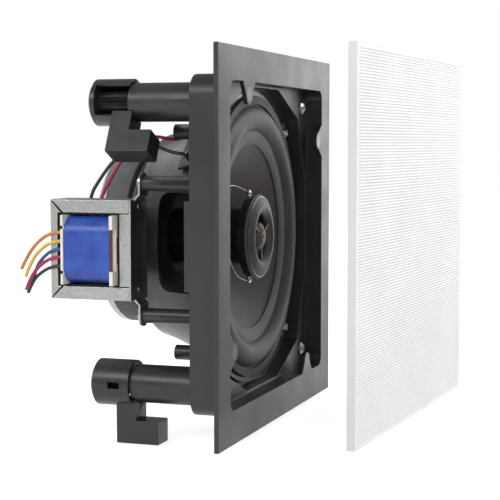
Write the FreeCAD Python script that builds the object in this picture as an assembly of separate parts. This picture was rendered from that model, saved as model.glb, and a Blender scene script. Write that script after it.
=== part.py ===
import FreeCAD, Part
import math
import os

# Square in-wall coaxial loudspeaker with a line transformer and a lift-off grille.
# The origin is the centre of the flange's back face, where it meets the wall.
# X runs to the right seen from the front, Y into the wall and Z up. All sizes are millimetres.

# Flange and tub
FLANGE_SIDE = 216.0
FLANGE_THICK = 2.8
OPENING_SIDE = 178.4
OPENING_CORNER_R = 6.0
TUB_SIDE = 186.0
TUB_CORNER_R = 12.0
TUB_DEPTH = 19.5
PAD_DEPTH = 8.0
PAD_THICK = 3.0
SEAT_DEPTH = 17.0
RECESS_STEP = 1.2
RECESS_FLAT = 60.0
RECESS_WALL = 2.5
COLLAR_WIDTH = 8.0
COLLAR_HEIGHT = 3.0
LEDGE_WIDTH = 49.0
RIB_THICK = 2.0
SCREW_TIP_ROOM = 3.0
BOSS_FLOOR = 3.0

# Grille tabs, their magnets and the grille itself
TAB_OFFSET = 57.2
TAB_ROOT_WIDTH = 21.0
TAB_TIP_R = 5.4
TAB_REACH = 12.2
TAB_THICK = 2.5
MAGNET_DISC_R = 4.2
MAGNET_DISC_THICK = 1.6
GRILLE_SHEET = 0.8
GRILLE_DEPTH = 5.2
GRILLE_CLEARANCE = 0.3
GRILLE_PLACE = (34.4, -76.6, 0.0)
GRILLE_TURN = -4.3

# Clamp towers and swing-out clamps
TOWER_INSET = 15.0
TOWER_R = 10.7
TOWER_END = 57.0
TOWER_BORE_R = 6.5
TOWER_TO_RECESS = 7.0
STEM_CLEARANCE = 0.3
STEM_LENGTH = 36.0
FLUTE_COUNT = 8
FLUTE_R = 1.1
HOOD_CLEARANCE = 0.5
HOOD_WALL = 1.8
HOOD_LENGTH = 21.0
HOOD_GAP = 19.0
CAP_THICK = 4.0
CAP_BEVEL = 1.6
CAP_SLOPE = 2.4
CAP_NOSE_R = 4.6
CAP_NOSE_TIP_R = 3.6
CAP_NOSE = 2.0
HOOD_WINDOW = (67.0, 150.0)
HOOD_SLOT_LENGTH = 7.0
HOOD_SLOT_WIDTH = 3.6
ARM_WIDTH = 14.4
ARM_DEPTH = 12.0
ARM_AHEAD = 1.0
ARM_REACH = 33.0
FOOT_HEIGHT = 13.0
FOOT_DEPTH = 13.0
CLAMP_SCREW_R = 2.4
CLAMP_SCREW_CLEARANCE = 0.08
CLAMP_HEAD_R = 4.6
CLAMP_HEAD_HEIGHT = 2.8
CLAMP_HEAD_BRIM = 0.9
CLAMP_SCREW_TAIL = 1.5
# Each corner: side in X, side in Z, arm angle from straight down, hand of the open window
CORNERS = ((-1, 1, 26.0, 1), (1, 1, 90.0, -1), (1, -1, 180.0, 1), (-1, -1, 0.0, -1))

# Woofer
GASKET_THICK = 1.0
BASKET_SHEET = 1.2
BASKET_RIM_R = 87.0
BASKET_MOUTH_R = 80.0
BASKET_WAIST_R = 63.5
BASKET_WAIST_DEPTH = 40.0
BASKET_LEDGE_DEPTH = 49.2
BASKET_LEDGE_R = 60.8
BASKET_FLOOR_R = 55.2
BASKET_FLOOR_DEPTH = 54.0
BASKET_EAR_R = 6.0
WINDOW_WIDTH = 56.0
WINDOW_START = 8.0
WINDOW_END = 33.0
WINDOW_CORNER_R = 6.0
SEAT_CLEARANCE = 0.6
DRIVER_SCREW_OFFSET = 62.0
DRIVER_BOSS_R = 4.25
DRIVER_SCREW_R = 1.7
DRIVER_HEAD_R = 3.6
DRIVER_HEAD_HEIGHT = 2.4
DRIVER_SCREW_LENGTH = 18.2
SCREW_HOLE_CLEARANCE = 0.05
ROLL_OUTER_R = 78.0
ROLL_INNER_R = 63.0
ROLL_HEIGHT = 7.0
SURROUND_THICK = 0.8
SURROUND_LAP = 4.6
FRONT_GASKET_THICK = 1.3
GASKET_TO_HEAD = 0.3
CONE_THICK = 1.0
CONE_DEPTH = 29.2
CONE_FLARE = 2.0
EYELET_R = 1.5
EYELET_FRONT = 1.2
EYELET_REAR = 2.4
EYELET_AT = 36.0
EYELET_SPREAD = 15.0
FORMER_R = 16.2
FORMER_WALL = 0.4
FORMER_FRONT = 4.0
FORMER_LENGTH = 41.0
WINDING_THICK = 0.7
WINDING_LENGTH = 9.0
SPIDER_THICK = 0.8
SPIDER_WAVES = 4
SPIDER_WAVE_HEIGHT = 2.2
TOP_PLATE_R = 49.0
TOP_PLATE_THICK = 5.0
GAP_WIDTH = 0.7
MAGNET_R = 53.0
MAGNET_BORE_R = 27.0
MAGNET_THICK = 13.5
YOKE_THICK = 5.0
YOKE_BEVEL = 1.2
POLE_R = 15.2

# Tweeter carried in the middle of the cone
TWEETER_FRONT = 7.0
TWEETER_RIM_R = 25.5
TWEETER_RIM_THICK = 2.2
TWEETER_MOUTH_R = 17.0
TWEETER_BODY_R = 24.5
TWEETER_BODY_DEPTH = 7.0
TWEETER_CUP_R = 16.5
TWEETER_CUP_DEPTH = 19.0
TWEETER_WALL = 1.7
PLUG_R = 8.0
PLUG_SHOULDER_R = 5.8
PLUG_TIP = 0.6
PLUG_HOLE_R = 1.3
SPOKE_WIDTH = 2.2
SPOKE_COUNT = 3
SPOKE_TURN = -30.0
DOME_R = 12.3
DOME_HEIGHT = 3.6
DOME_THICK = 0.4
DOME_ROLL_WIDTH = 3.2
DOME_ROLL_HEIGHT = 1.0
TWEETER_GAP = 0.8
TWEETER_PLATE_THICK = 1.5
TWEETER_MAGNET_THICK = 4.0
TWEETER_MAGNET_STEP = 1.0
CAPACITOR_R = 4.0
CAPACITOR_LENGTH = 18.0
STEM_R = 7.0
TAG_WIDTH = 4.0
TAG_THICK = 0.8
TAG_OUT = 3.2
SOLDER_R = 1.7

# Terminal strip on the basket
STRIP_ANGLE = 135.0
STRIP_DEPTH = 16.0
STRIP_WIDTH = 28.0
STRIP_LENGTH = 13.0
STRIP_THICK = 1.6
LUG_SPREAD = 16.0
LUG_WIDTH = 4.0
LUG_THICK = 0.8
LUG_OUT = 5.0
LUG_IN = 4.0
FIT_GAP = 0.1

# Line transformer behind the left-hand side
TRANSFORMER_X = -80.0
TRANSFORMER_Z = -3.0
CORE_STACK = 21.0
CORE_HEIGHT = 53.0
CORE_LENGTH = 46.0
CORE_LEG = 7.0
FRAME_SHEET = 1.2
FRAME_LIP = 5.7
MITRE_SLIT = 0.5
BOBBIN_WALL = 1.2
BOBBIN_FLANGE = 1.6
BOBBIN_PROUD = 5.0
BOBBIN_GAP = 0.3
BOBBIN_NOTCH = 3.0
BOBBIN_NOTCH_DEPTH = 3.6
TAPE_BELOW_FLANGE = 0.7
TAPE_ROUND = 5.0
POST_R = 4.25
POST_SPACING = 73.2
POST_END = 51.0
EAR_JOG = 3.0
EAR_WIDTH = 12.0
MOUNT_SCREW_R = 1.7
MOUNT_HEAD_R = 3.4
MOUNT_HEAD_HEIGHT = 2.2
MOUNT_SCREW_LENGTH = 16.0

# Cross-slotted pan heads, as shares of the head
HEAD_CROWN = 0.7
SOCKET_MOUTH = 0.45
SOCKET_FLOOR = 0.1
SOCKET_DEPTH = 0.6

# Leads: five coloured taps end free, the red and black pair runs to the terminal strip
LEAD_R = 1.0
LEAD_HOLE_CLEARANCE = 0.3
LEAD_BEND_SHARE = 0.45
TINSEL_R = 0.5
TWEETER_LEAD_R = 0.4
TAP_ROUTES = {
    "orange": ((-93.5, 92.3, 6.6), (-93.5, 100.4, 6.6), (-93.9, 108.5, 1.6), (-94.3, 114.8, -5.8),
               (-94.8, 119.0, -14.4)),
    "yellow": ((-93.5, 92.3, 1.6), (-93.5, 100.0, 1.6), (-94.0, 107.6, -3.2), (-94.5, 113.2, -10.4),
               (-95.0, 116.4, -18.6)),
    "blue": ((-93.5, 92.3, -2.8), (-93.5, 99.8, -2.8), (-92.6, 107.4, -8.4), (-91.0, 112.6, -15.4),
             (-88.5, 115.5, -23.4)),
    "red": ((-93.5, 92.3, -7.2), (-93.5, 99.9, -7.2), (-94.1, 107.4, -11.6), (-94.8, 113.2, -18.4),
            (-95.4, 115.8, -26.0)),
    "black": ((-93.5, 92.3, -12.2), (-93.5, 99.8, -12.2), (-93.0, 107.2, -15.8), (-92.0, 113.4, -21.0),
              (-90.4, 117.2, -28.0)),
}
SECONDARY_ROUTES = {
    "red": ((-67.0, 86.0, 13.0), (-66.6, 83.4, 24.6), (-66.2, 76.4, 36.6), (-66.0, 69.4, 48.0),
            (-66.0, 59.5, 57.5), (-65.5, 49.5, 59.6), (-60.5, 42.6, 57.6), (-54.5, 38.5, 58.4),
            (-49.6, 34.0, 60.9)),
    "black": ((-67.0, 90.4, 13.0), (-66.2, 90.6, 25.0), (-64.4, 83.8, 36.5), (-63.0, 75.7, 47.2),
              (-62.4, 63.6, 53.8), (-62.8, 51.6, 54.6), (-64.0, 44.6, 51.9), (-63.8, 38.4, 50.0),
              (-60.9, 34.0, 49.6)),
}
TINSEL_ROUTES = (
    ((-19.7, 31.2, 30.2), (-22.0, 37.0, 32.5), (-27.5, 41.0, 38.0), (-35.0, 40.6, 45.5),
     (-40.8, 36.0, 51.6), (-43.4, 30.6, 54.6)),
    ((-30.2, 31.2, 19.7), (-32.5, 37.0, 22.0), (-38.0, 41.0, 27.5), (-45.5, 40.6, 35.0),
     (-51.6, 36.0, 40.8), (-54.6, 30.6, 43.4)),
)
TWEETER_LEAD_ROUTES = (
    ((-0.6, 17.4, 26.6), (-7.6, 19.4, 29.0), (-14.0, 22.4, 31.0), (-19.4, 26.6, 30.4)),
    ((-0.6, 17.4, -26.6), (-11.0, 19.4, -25.0), (-20.0, 21.6, -15.0), (-26.0, 22.6, -1.0),
     (-29.2, 23.6, 11.0), (-30.0, 26.6, 19.4)),
)

# How far a cutter runs past the face that it opens, and the cosine of an edge that runs along an axis
CUT_PAST = 1.0
ALONG = 0.99

# Places worked out from the sizes above
tub_half = TUB_SIDE / 2
opening_half = OPENING_SIDE / 2
tower_at = tub_half - TOWER_INSET
recess_side = opening_half - RECESS_STEP
recess_corner = tower_at - TOWER_TO_RECESS
rim_rear = SEAT_DEPTH - GASKET_THICK
rim_front = rim_rear - BASKET_SHEET
driver_screw_tip = rim_front + DRIVER_SCREW_LENGTH
driver_boss_end = driver_screw_tip + SCREW_TIP_ROOM + BOSS_FLOOR
seat_hole_r = BASKET_MOUTH_R + SEAT_CLEARANCE
basket_rear = rim_rear + BASKET_FLOOR_DEPTH
top_plate_rear = basket_rear + TOP_PLATE_THICK
magnet_rear = top_plate_rear + MAGNET_THICK
yoke_rear = magnet_rear + YOKE_THICK
coil_front = basket_rear + (TOP_PLATE_THICK - WINDING_LENGTH) / 2
flange_front = rim_front - SURROUND_THICK
gasket_r = DRIVER_SCREW_OFFSET * math.sqrt(2) - DRIVER_HEAD_R - GASKET_TO_HEAD
neck_depth = rim_front + CONE_DEPTH
former_front = neck_depth - FORMER_FRONT
former_inner_r = FORMER_R - FORMER_WALL
winding_r = FORMER_R + WINDING_THICK
spider_seat = rim_rear + BASKET_LEDGE_DEPTH - BASKET_SHEET
tweeter_body_front = TWEETER_FRONT + TWEETER_RIM_THICK
tweeter_body_rear = tweeter_body_front + TWEETER_BODY_DEPTH
tweeter_cup_rear = tweeter_body_rear + TWEETER_CUP_DEPTH
capacitor_depth = tweeter_cup_rear - TWEETER_WALL - CAPACITOR_R
ear_rear = POST_END + FRAME_SHEET
mount_screw_tip = ear_rear - MOUNT_SCREW_LENGTH
core_front = ear_rear + EAR_JOG
core_rear = core_front + CORE_LENGTH
core_half = CORE_STACK / 2
case_half = core_half + FRAME_SHEET
clamp_cap_front = TOWER_END + HOOD_GAP
clamp_cap_rear = clamp_cap_front + CAP_THICK


def vec(x, y, z):
    """Point or direction in the part's frame."""
    return FreeCAD.Vector(x, y, z)


def block(x0, x1, y0, y1, z0, z1):
    """Box between two corners."""
    return Part.makeBox(x1 - x0, y1 - y0, z1 - z0, vec(x0, y0, z0))


def rod(radius, x, z, y0, y1):
    """Round bar along Y."""
    return Part.makeCylinder(radius, y1 - y0, vec(x, y0, z), vec(0, 1, 0))


def tube(outer, inner, y0, y1):
    """Ring about the speaker's own axis."""
    return rod(outer, 0, 0, y0, y1).cut(rod(inner, 0, 0, y0 - CUT_PAST, y1 + CUT_PAST))


def slab(points, y0, y1):
    """Prism along Y from an outline of X, Z points."""
    corners = [vec(x, y0, z) for x, z in points]
    return Part.Face(Part.makePolygon(corners + corners[:1])).extrude(vec(0, y1 - y0, 0))


def edges_along(solid, axis):
    """Straight edges of a solid that run along an axis."""
    return [edge for edge in solid.Edges if abs(edge.tangentAt(edge.FirstParameter).dot(axis)) > ALONG]


def square_slab(half, corner_r, y0, y1):
    """Square prism along Y with rounded corners."""
    solid = block(-half, half, y0, y1, -half, half)
    return solid.makeFillet(corner_r, edges_along(solid, vec(0, 1, 0)))


def turned(points):
    """Solid of revolution about Y from a closed outline of radius, depth points."""
    corners = [vec(r, y, 0) for r, y in points]
    return spun(Part.makePolygon(corners + corners[:1]).Edges)


def spun(edges):
    """Solid of revolution about Y from a closed loop of edges."""
    return Part.Face(Part.Wire(edges)).revolve(vec(0, 0, 0), vec(0, 1, 0), 360)


def line(a, b):
    """Straight edge between two radius, depth points."""
    return Part.makeLine(vec(a[0], a[1], 0), vec(b[0], b[1], 0))


def arc(a, b, c):
    """Circular edge through three radius, depth points."""
    return Part.Arc(vec(a[0], a[1], 0), vec(b[0], b[1], 0), vec(c[0], c[1], 0)).toShape()


def crown(radius, tip, edge):
    """Part of a circle centred on the axis, from its tip to a radius at the edge's depth."""
    rise = edge - tip
    ball = (radius ** 2 + rise ** 2) / (2 * rise)
    half = math.asin(radius / ball) / 2
    middle = (ball * math.sin(half), tip + ball - ball * math.cos(half))
    return arc((0, tip), middle, (radius, edge))


def joined(*solids):
    """One clean solid from pieces that meet."""
    return solids[0].multiFuse(list(solids[1:])).removeSplitter()


def about_axis(solid, angle):
    """Copy turned about the speaker's own axis."""
    copy = solid.copy()
    copy.rotate(vec(0, 0, 0), vec(0, 1, 0), angle)
    return copy


def four_ways(solid):
    """The same piece at each quarter turn."""
    return [about_axis(solid, 90 * quarter) for quarter in range(4)]


def lead(points, radius):
    """Round lead along straight runs joined by the largest arcs they leave room for."""
    path = []
    start = vec(*points[0])
    tightest = math.inf
    for before, corner, after in zip(points, points[1:], points[2:]):
        corner = vec(*corner)
        run_in = corner - vec(*before)
        run_out = vec(*after) - corner
        setback = LEAD_BEND_SHARE * min(run_in.Length, run_out.Length)
        turn = run_in.getAngle(run_out)
        bend = setback / math.tan(turn / 2)
        tightest = min(tightest, bend)
        run_in.normalize()
        run_out.normalize()
        inward = (run_out - run_in).normalize()
        first = corner - run_in * setback
        last = corner + run_out * setback
        middle = corner + inward * (bend / math.cos(turn / 2) - bend)
        path.append(Part.LineSegment(start, first).toShape())
        path.append(Part.Arc(first, middle, last).toShape())
        start = last
    path.append(Part.LineSegment(start, vec(*points[-1])).toShape())
    spine = Part.Wire(path)
    outset = vec(*points[1]) - vec(*points[0])
    section = Part.Wire([Part.Circle(vec(*points[0]), outset, radius).toShape()])
    solid = spine.makePipeShell([section], True, False)
    volume_ratio = solid.Volume / (math.pi * radius ** 2 * spine.Length)
    print(f"lead {spine.Length:.1f} mm long, tightest bend {tightest:.1f}, volume ratio {volume_ratio:.4f}")
    return solid


def recess_outline(grow):
    """Twelve-sided recess around the woofer, pushed out by a wall."""
    side = recess_side + grow
    flat = RECESS_FLAT / 2
    corner = recess_corner + grow
    octant = ((flat, side), (corner, corner), (side, flat))
    points = list(octant)
    points += [(x, -z) for x, z in reversed(octant)]
    points += [(-x, -z) for x, z in octant]
    points += [(-x, z) for x, z in reversed(octant)]
    return points


def grille_tab(front, rear):
    """Tongue with a round tip on the top edge of the opening."""
    tip = opening_half - TAB_REACH + TAB_TIP_R
    root = TAB_ROOT_WIDTH / 2
    outline = ((-root, opening_half), (root, opening_half), (TAB_TIP_R, tip), (-TAB_TIP_R, tip))
    shifted = [(x - TAB_OFFSET, z) for x, z in outline]
    return joined(slab(shifted, front, rear), rod(TAB_TIP_R, -TAB_OFFSET, tip, front, rear))


def baffle_frame():
    """Moulded flange, tub, driver seat, clamp towers, screw bosses and transformer posts."""
    half = FLANGE_SIDE / 2
    collar_rear = TUB_DEPTH + COLLAR_HEIGHT
    ledge = block(seat_hole_r, tub_half, SEAT_DEPTH, collar_rear, -LEDGE_WIDTH / 2, LEDGE_WIDTH / 2)
    collar = rod(seat_hole_r + COLLAR_WIDTH, 0, 0, SEAT_DEPTH, collar_rear)
    body = joined(
        block(-half, half, -FLANGE_THICK, 0, -half, half),
        square_slab(tub_half, TUB_CORNER_R, 0, TUB_DEPTH),
        collar,
        *four_ways(ledge),
    )
    hollow = square_slab(opening_half, OPENING_CORNER_R, PAD_DEPTH + PAD_THICK, TUB_DEPTH)
    pockets = hollow.cut(slab(recess_outline(RECESS_WALL), PAD_DEPTH, TUB_DEPTH))
    body = body.cut(pockets)
    body = joined(body, *[tower for place in tower_places() for tower in tower_bars(*place)])
    body = joined(body, *screw_bosses(), *transformer_posts())
    body = body.cut(square_slab(opening_half, OPENING_CORNER_R, -FLANGE_THICK, PAD_DEPTH))
    body = body.cut(slab(recess_outline(0), PAD_DEPTH - CUT_PAST, SEAT_DEPTH))
    body = body.cut(rod(seat_hole_r, 0, 0, SEAT_DEPTH - CUT_PAST, collar_rear + CUT_PAST))
    for x, z in tower_places():
        body = body.cut(rod(TOWER_BORE_R, x, z, PAD_DEPTH + PAD_THICK, TOWER_END + CUT_PAST))
        body = body.cut(rod(CLAMP_SCREW_R + CLAMP_SCREW_CLEARANCE, x, z, PAD_DEPTH - CUT_PAST, TOWER_END))
    for x, z in diagonal_places(DRIVER_SCREW_OFFSET):
        pilot = DRIVER_SCREW_R + SCREW_HOLE_CLEARANCE
        body = body.cut(rod(pilot, x, z, SEAT_DEPTH - CUT_PAST, driver_screw_tip + SCREW_TIP_ROOM))
    for x, z in post_places():
        pilot = MOUNT_SCREW_R + SCREW_HOLE_CLEARANCE
        body = body.cut(rod(pilot, x, z, mount_screw_tip - SCREW_TIP_ROOM, POST_END + CUT_PAST))
    tab = grille_tab(-FLANGE_THICK, TAB_THICK - FLANGE_THICK)
    body = joined(body, *four_ways(tab))
    return body.cut(Part.makeCompound(four_ways(magnet_disc(FIT_GAP, -FLANGE_THICK - CUT_PAST))))


def diagonal_places(offset):
    """The four places on the diagonals."""
    return [(side_x * offset, side_z * offset) for side_x, side_z, _, _ in CORNERS]


def tower_places():
    """Axes of the four clamp towers."""
    return diagonal_places(tower_at)


def tower_bars(x, z):
    """One round tower and the two ribs that tie it to the tub's corner."""
    side_x = math.copysign(1, x)
    side_z = math.copysign(1, z)
    reach = (opening_half + tub_half) / 2
    rib = RIB_THICK / 2
    across = sorted((x, side_x * reach))
    upright = sorted((z, side_z * reach))
    return (
        rod(TOWER_R, x, z, PAD_DEPTH, TOWER_END),
        block(*across, PAD_DEPTH, TUB_DEPTH, z - rib, z + rib),
        block(x - rib, x + rib, PAD_DEPTH, TUB_DEPTH, *upright),
    )


def screw_bosses():
    """Blind bosses behind the seat that take the driver's screws."""
    places = diagonal_places(DRIVER_SCREW_OFFSET)
    return [rod(DRIVER_BOSS_R, x, z, SEAT_DEPTH, driver_boss_end) for x, z in places]


def post_places():
    """Axes of the two posts that carry the transformer."""
    return [(TRANSFORMER_X, TRANSFORMER_Z + side * POST_SPACING / 2) for side in (1, -1)]


def transformer_posts():
    """Two long posts behind the seat."""
    return [rod(POST_R, x, z, SEAT_DEPTH, POST_END) for x, z in post_places()]


def magnet_disc(gap, front):
    """Disc magnet in the face of the first tab, or its pocket with a gap and a front ahead of the face."""
    z = opening_half - TAB_REACH + TAB_TIP_R
    return rod(MAGNET_DISC_R + gap, -TAB_OFFSET, z, front, MAGNET_DISC_THICK - FLANGE_THICK)


def grille_pan():
    """Shallow steel pan with folded edges, shown lifted off in front of the flange."""
    half = FLANGE_SIDE / 2 + GRILLE_CLEARANCE + GRILLE_SHEET
    inner = half - GRILLE_SHEET
    pan = block(-half, half, 0, GRILLE_DEPTH, -half, half)
    pan = pan.cut(block(-inner, inner, GRILLE_SHEET, GRILLE_DEPTH + CUT_PAST, -inner, inner))
    pan.Placement = FreeCAD.Placement(vec(*GRILLE_PLACE), FreeCAD.Rotation(vec(0, 0, 1), GRILLE_TURN))
    return pan


def clamp(hand):
    """Swing-out clamp on the speaker's axis, arm pointing straight down."""
    hood_inner = TOWER_R + HOOD_CLEARANCE
    hood_outer = hood_inner + HOOD_WALL
    hood_front = clamp_cap_front - HOOD_LENGTH
    stem_r = TOWER_BORE_R - STEM_CLEARANCE
    cap = turned((
        (0, clamp_cap_front), (hood_outer, clamp_cap_front), (hood_outer, clamp_cap_rear - CAP_BEVEL),
        (hood_outer - CAP_SLOPE, clamp_cap_rear), (CAP_NOSE_R, clamp_cap_rear),
        (CAP_NOSE_TIP_R, clamp_cap_rear + CAP_NOSE), (0, clamp_cap_rear + CAP_NOSE),
    ))
    hood = rod(hood_outer, 0, 0, hood_front, clamp_cap_front)
    wedge = [(0, 0)]
    reach = 2 * hood_outer
    for angle in (HOOD_WINDOW[0], sum(HOOD_WINDOW) / 2, HOOD_WINDOW[1]):
        turn = math.radians(angle)
        wedge.append((-hand * reach * math.sin(turn), reach * math.cos(turn)))
    hood = hood.cut(slab(wedge, hood_front, clamp_cap_front))
    slot_middle = (hood_front + clamp_cap_front) / 2
    slot_ends = sorted((0, hand * reach))
    slot = block(*slot_ends, slot_middle - HOOD_SLOT_LENGTH / 2, slot_middle + HOOD_SLOT_LENGTH / 2,
                 -HOOD_SLOT_WIDTH / 2, HOOD_SLOT_WIDTH / 2)
    arm_front = hood_front - ARM_AHEAD
    arm_half = ARM_WIDTH / 2
    arm = block(-arm_half, arm_half, arm_front, arm_front + ARM_DEPTH, -ARM_REACH, 0)
    foot_top = FOOT_HEIGHT - ARM_REACH
    foot = block(-arm_half, arm_half, arm_front - FOOT_DEPTH, arm_front, -ARM_REACH, foot_top)
    shell = joined(hood.cut(slot), arm, foot).cut(rod(hood_inner, 0, 0, 0, clamp_cap_front))
    stem = rod(stem_r, 0, 0, clamp_cap_front - STEM_LENGTH, clamp_cap_front)
    for flute in range(FLUTE_COUNT):
        groove = rod(FLUTE_R, 0, stem_r + FLUTE_R / 2, 0, clamp_cap_front)
        stem = stem.cut(about_axis(groove, 360 * flute / FLUTE_COUNT))
    bore = rod(CLAMP_SCREW_R + CLAMP_SCREW_CLEARANCE, 0, 0, 0, clamp_cap_rear + 2 * CAP_NOSE)
    return joined(shell, cap, stem).cut(bore)


def clamp_screw():
    """Long clamp screw with a domed head, on the speaker's axis."""
    head_front = PAD_DEPTH - CLAMP_HEAD_HEIGHT
    tail = clamp_cap_rear + CAP_NOSE + CLAMP_SCREW_TAIL
    brim = PAD_DEPTH - CLAMP_HEAD_BRIM
    return spun([
        line((0, tail), (0, head_front)),
        crown(CLAMP_HEAD_R, head_front, brim),
        line((CLAMP_HEAD_R, brim), (CLAMP_HEAD_R, PAD_DEPTH)),
        line((CLAMP_HEAD_R, PAD_DEPTH), (CLAMP_SCREW_R, PAD_DEPTH)),
        line((CLAMP_SCREW_R, PAD_DEPTH), (CLAMP_SCREW_R, tail)),
        line((CLAMP_SCREW_R, tail), (0, tail)),
    ])


def basket_wall_r(depth):
    """Outer radius of the basket's upper wall at a depth behind its rim."""
    return BASKET_MOUTH_R + (BASKET_WAIST_R - BASKET_MOUTH_R) * depth / BASKET_WAIST_DEPTH


def basket():
    """Pressed steel basket: rim with ears, open wall, spider ledge and floor."""
    bore = winding_r + 2 * GAP_WIDTH
    sheet = BASKET_SHEET
    outside = (
        (BASKET_RIM_R, 0), (BASKET_MOUTH_R, 0), (BASKET_WAIST_R, BASKET_WAIST_DEPTH),
        (BASKET_LEDGE_R, BASKET_LEDGE_DEPTH), (BASKET_FLOOR_R, BASKET_LEDGE_DEPTH),
        (BASKET_FLOOR_R, BASKET_FLOOR_DEPTH), (bore, BASKET_FLOOR_DEPTH),
    )
    inside = (
        (bore, BASKET_FLOOR_DEPTH - sheet), (BASKET_FLOOR_R - sheet, BASKET_FLOOR_DEPTH - sheet),
        (BASKET_FLOOR_R - sheet, BASKET_LEDGE_DEPTH - sheet),
        (BASKET_LEDGE_R - sheet, BASKET_LEDGE_DEPTH - sheet), (BASKET_WAIST_R - sheet, BASKET_WAIST_DEPTH),
        (BASKET_MOUTH_R - sheet, -sheet), (BASKET_RIM_R, -sheet),
    )
    bowl = turned([(r, rim_rear + y) for r, y in outside + inside])
    ears = [rod(BASKET_EAR_R, x, z, rim_front, rim_rear) for x, z in diagonal_places(DRIVER_SCREW_OFFSET)]
    bowl = joined(bowl, *ears)
    for x, z in diagonal_places(DRIVER_SCREW_OFFSET):
        hole_r = DRIVER_SCREW_R + SCREW_HOLE_CLEARANCE
        bowl = bowl.cut(rod(hole_r, x, z, rim_front - CUT_PAST, rim_rear + CUT_PAST))
    for window in four_ways(basket_window()):
        bowl = bowl.cut(window)
    slot_half = LUG_SPREAD / 2 + LUG_WIDTH
    slot = block(-slot_half, slot_half, -LUG_IN, LUG_OUT, -LUG_WIDTH / 2, LUG_WIDTH / 2)
    return bowl.cut(on_strip(slot))


def basket_window():
    """Cutter for one window in the basket's wall, with rounded corners."""
    half = WINDOW_WIDTH / 2
    cutter = block(0, BASKET_RIM_R, rim_rear + WINDOW_START, rim_rear + WINDOW_END, -half, half)
    return cutter.makeFillet(WINDOW_CORNER_R, edges_along(cutter, vec(1, 0, 0)))


def surround():
    """Half-roll rubber surround, lapped on the basket's rim and on the cone's lip."""
    thick = SURROUND_THICK
    front = flange_front
    rear = rim_front
    middle = (ROLL_OUTER_R + ROLL_INNER_R) / 2
    outer_edge = gasket_r
    inner_edge = ROLL_INNER_R - SURROUND_LAP
    return spun([
        line((outer_edge, rear), (outer_edge, front)),
        line((outer_edge, front), (ROLL_OUTER_R, front)),
        arc((ROLL_OUTER_R, front), (middle, front - ROLL_HEIGHT), (ROLL_INNER_R, front)),
        line((ROLL_INNER_R, front), (inner_edge, front)),
        line((inner_edge, front), (inner_edge, rear)),
        line((inner_edge, rear), (ROLL_INNER_R + thick, rear)),
        arc((ROLL_INNER_R + thick, rear), (middle, rear - ROLL_HEIGHT), (ROLL_OUTER_R - thick, rear)),
        line((ROLL_OUTER_R - thick, rear), (outer_edge, rear)),
    ])


def cone_points(offset):
    """Rim, middle and neck of the flared cone face, set back by an offset."""
    rim = (ROLL_INNER_R - SURROUND_LAP, rim_front + offset)
    neck = (FORMER_R, neck_depth + offset)
    middle = ((rim[0] + neck[0]) / 2, (rim[1] + neck[1]) / 2 - CONE_FLARE)
    return rim, middle, neck


def cone_depth_at(radius):
    """Depth of the cone's face at a radius, near enough for what is fixed to it."""
    rim, middle, neck = cone_points(0)
    share = (rim[0] - radius) / (rim[0] - neck[0])
    return rim[1] + (neck[1] - rim[1]) * share - 4 * CONE_FLARE * share * (1 - share)


def cone():
    """Flared cone with a flat lip under the surround and holes for the eyelets."""
    lip = ROLL_INNER_R
    rim, middle, neck = cone_points(0)
    rim_back, middle_back, neck_back = cone_points(CONE_THICK)
    solid = spun([
        line((lip, rim[1]), rim),
        arc(rim, middle, neck),
        line(neck, neck_back),
        arc(neck_back, middle_back, rim_back),
        line(rim_back, (lip, rim_back[1])),
        line((lip, rim_back[1]), (lip, rim[1])),
    ])
    for x, z in eyelet_places():
        solid = solid.cut(rod(EYELET_R, x, z, rim[1], neck_back[1]))
    return solid


def eyelet_places():
    """The two solder eyelets, either side of the terminal strip's radius."""
    half = math.degrees(EYELET_SPREAD / EYELET_AT) / 2
    angles = [math.radians(STRIP_ANGLE + side * half) for side in (-1, 1)]
    return [(EYELET_AT * math.cos(angle), EYELET_AT * math.sin(angle)) for angle in angles]


def cone_eyelets():
    """Two brass eyelets through the cone."""
    depth = cone_depth_at(EYELET_AT)
    ends = (depth - EYELET_FRONT, depth + EYELET_REAR)
    return Part.makeCompound([rod(EYELET_R, x, z, *ends) for x, z in eyelet_places()])


def spider():
    """Corrugated cloth spider between the ledge and the coil former."""
    inner = FORMER_R + FIT_GAP
    outer = BASKET_LEDGE_R - BASKET_SHEET - FIT_GAP
    flat = BASKET_FLOOR_R - BASKET_SHEET
    wave = (flat - inner) / SPIDER_WAVES
    front = []
    back = []
    for number in range(SPIDER_WAVES):
        a = inner + wave * number
        crest = SPIDER_WAVE_HEIGHT * (1 if number % 2 else -1)
        for side, level in ((front, spider_seat - SPIDER_THICK), (back, spider_seat)):
            side.append(arc((a, level), (a + wave / 2, level + crest), (a + wave, level)))
    top = spider_seat - SPIDER_THICK
    rim = [
        line((flat, top), (outer, top)),
        line((outer, top), (outer, spider_seat)),
        line((outer, spider_seat), (flat, spider_seat)),
    ]
    return spun(front + rim + back[::-1] + [line((inner, spider_seat), (inner, top))])


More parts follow.
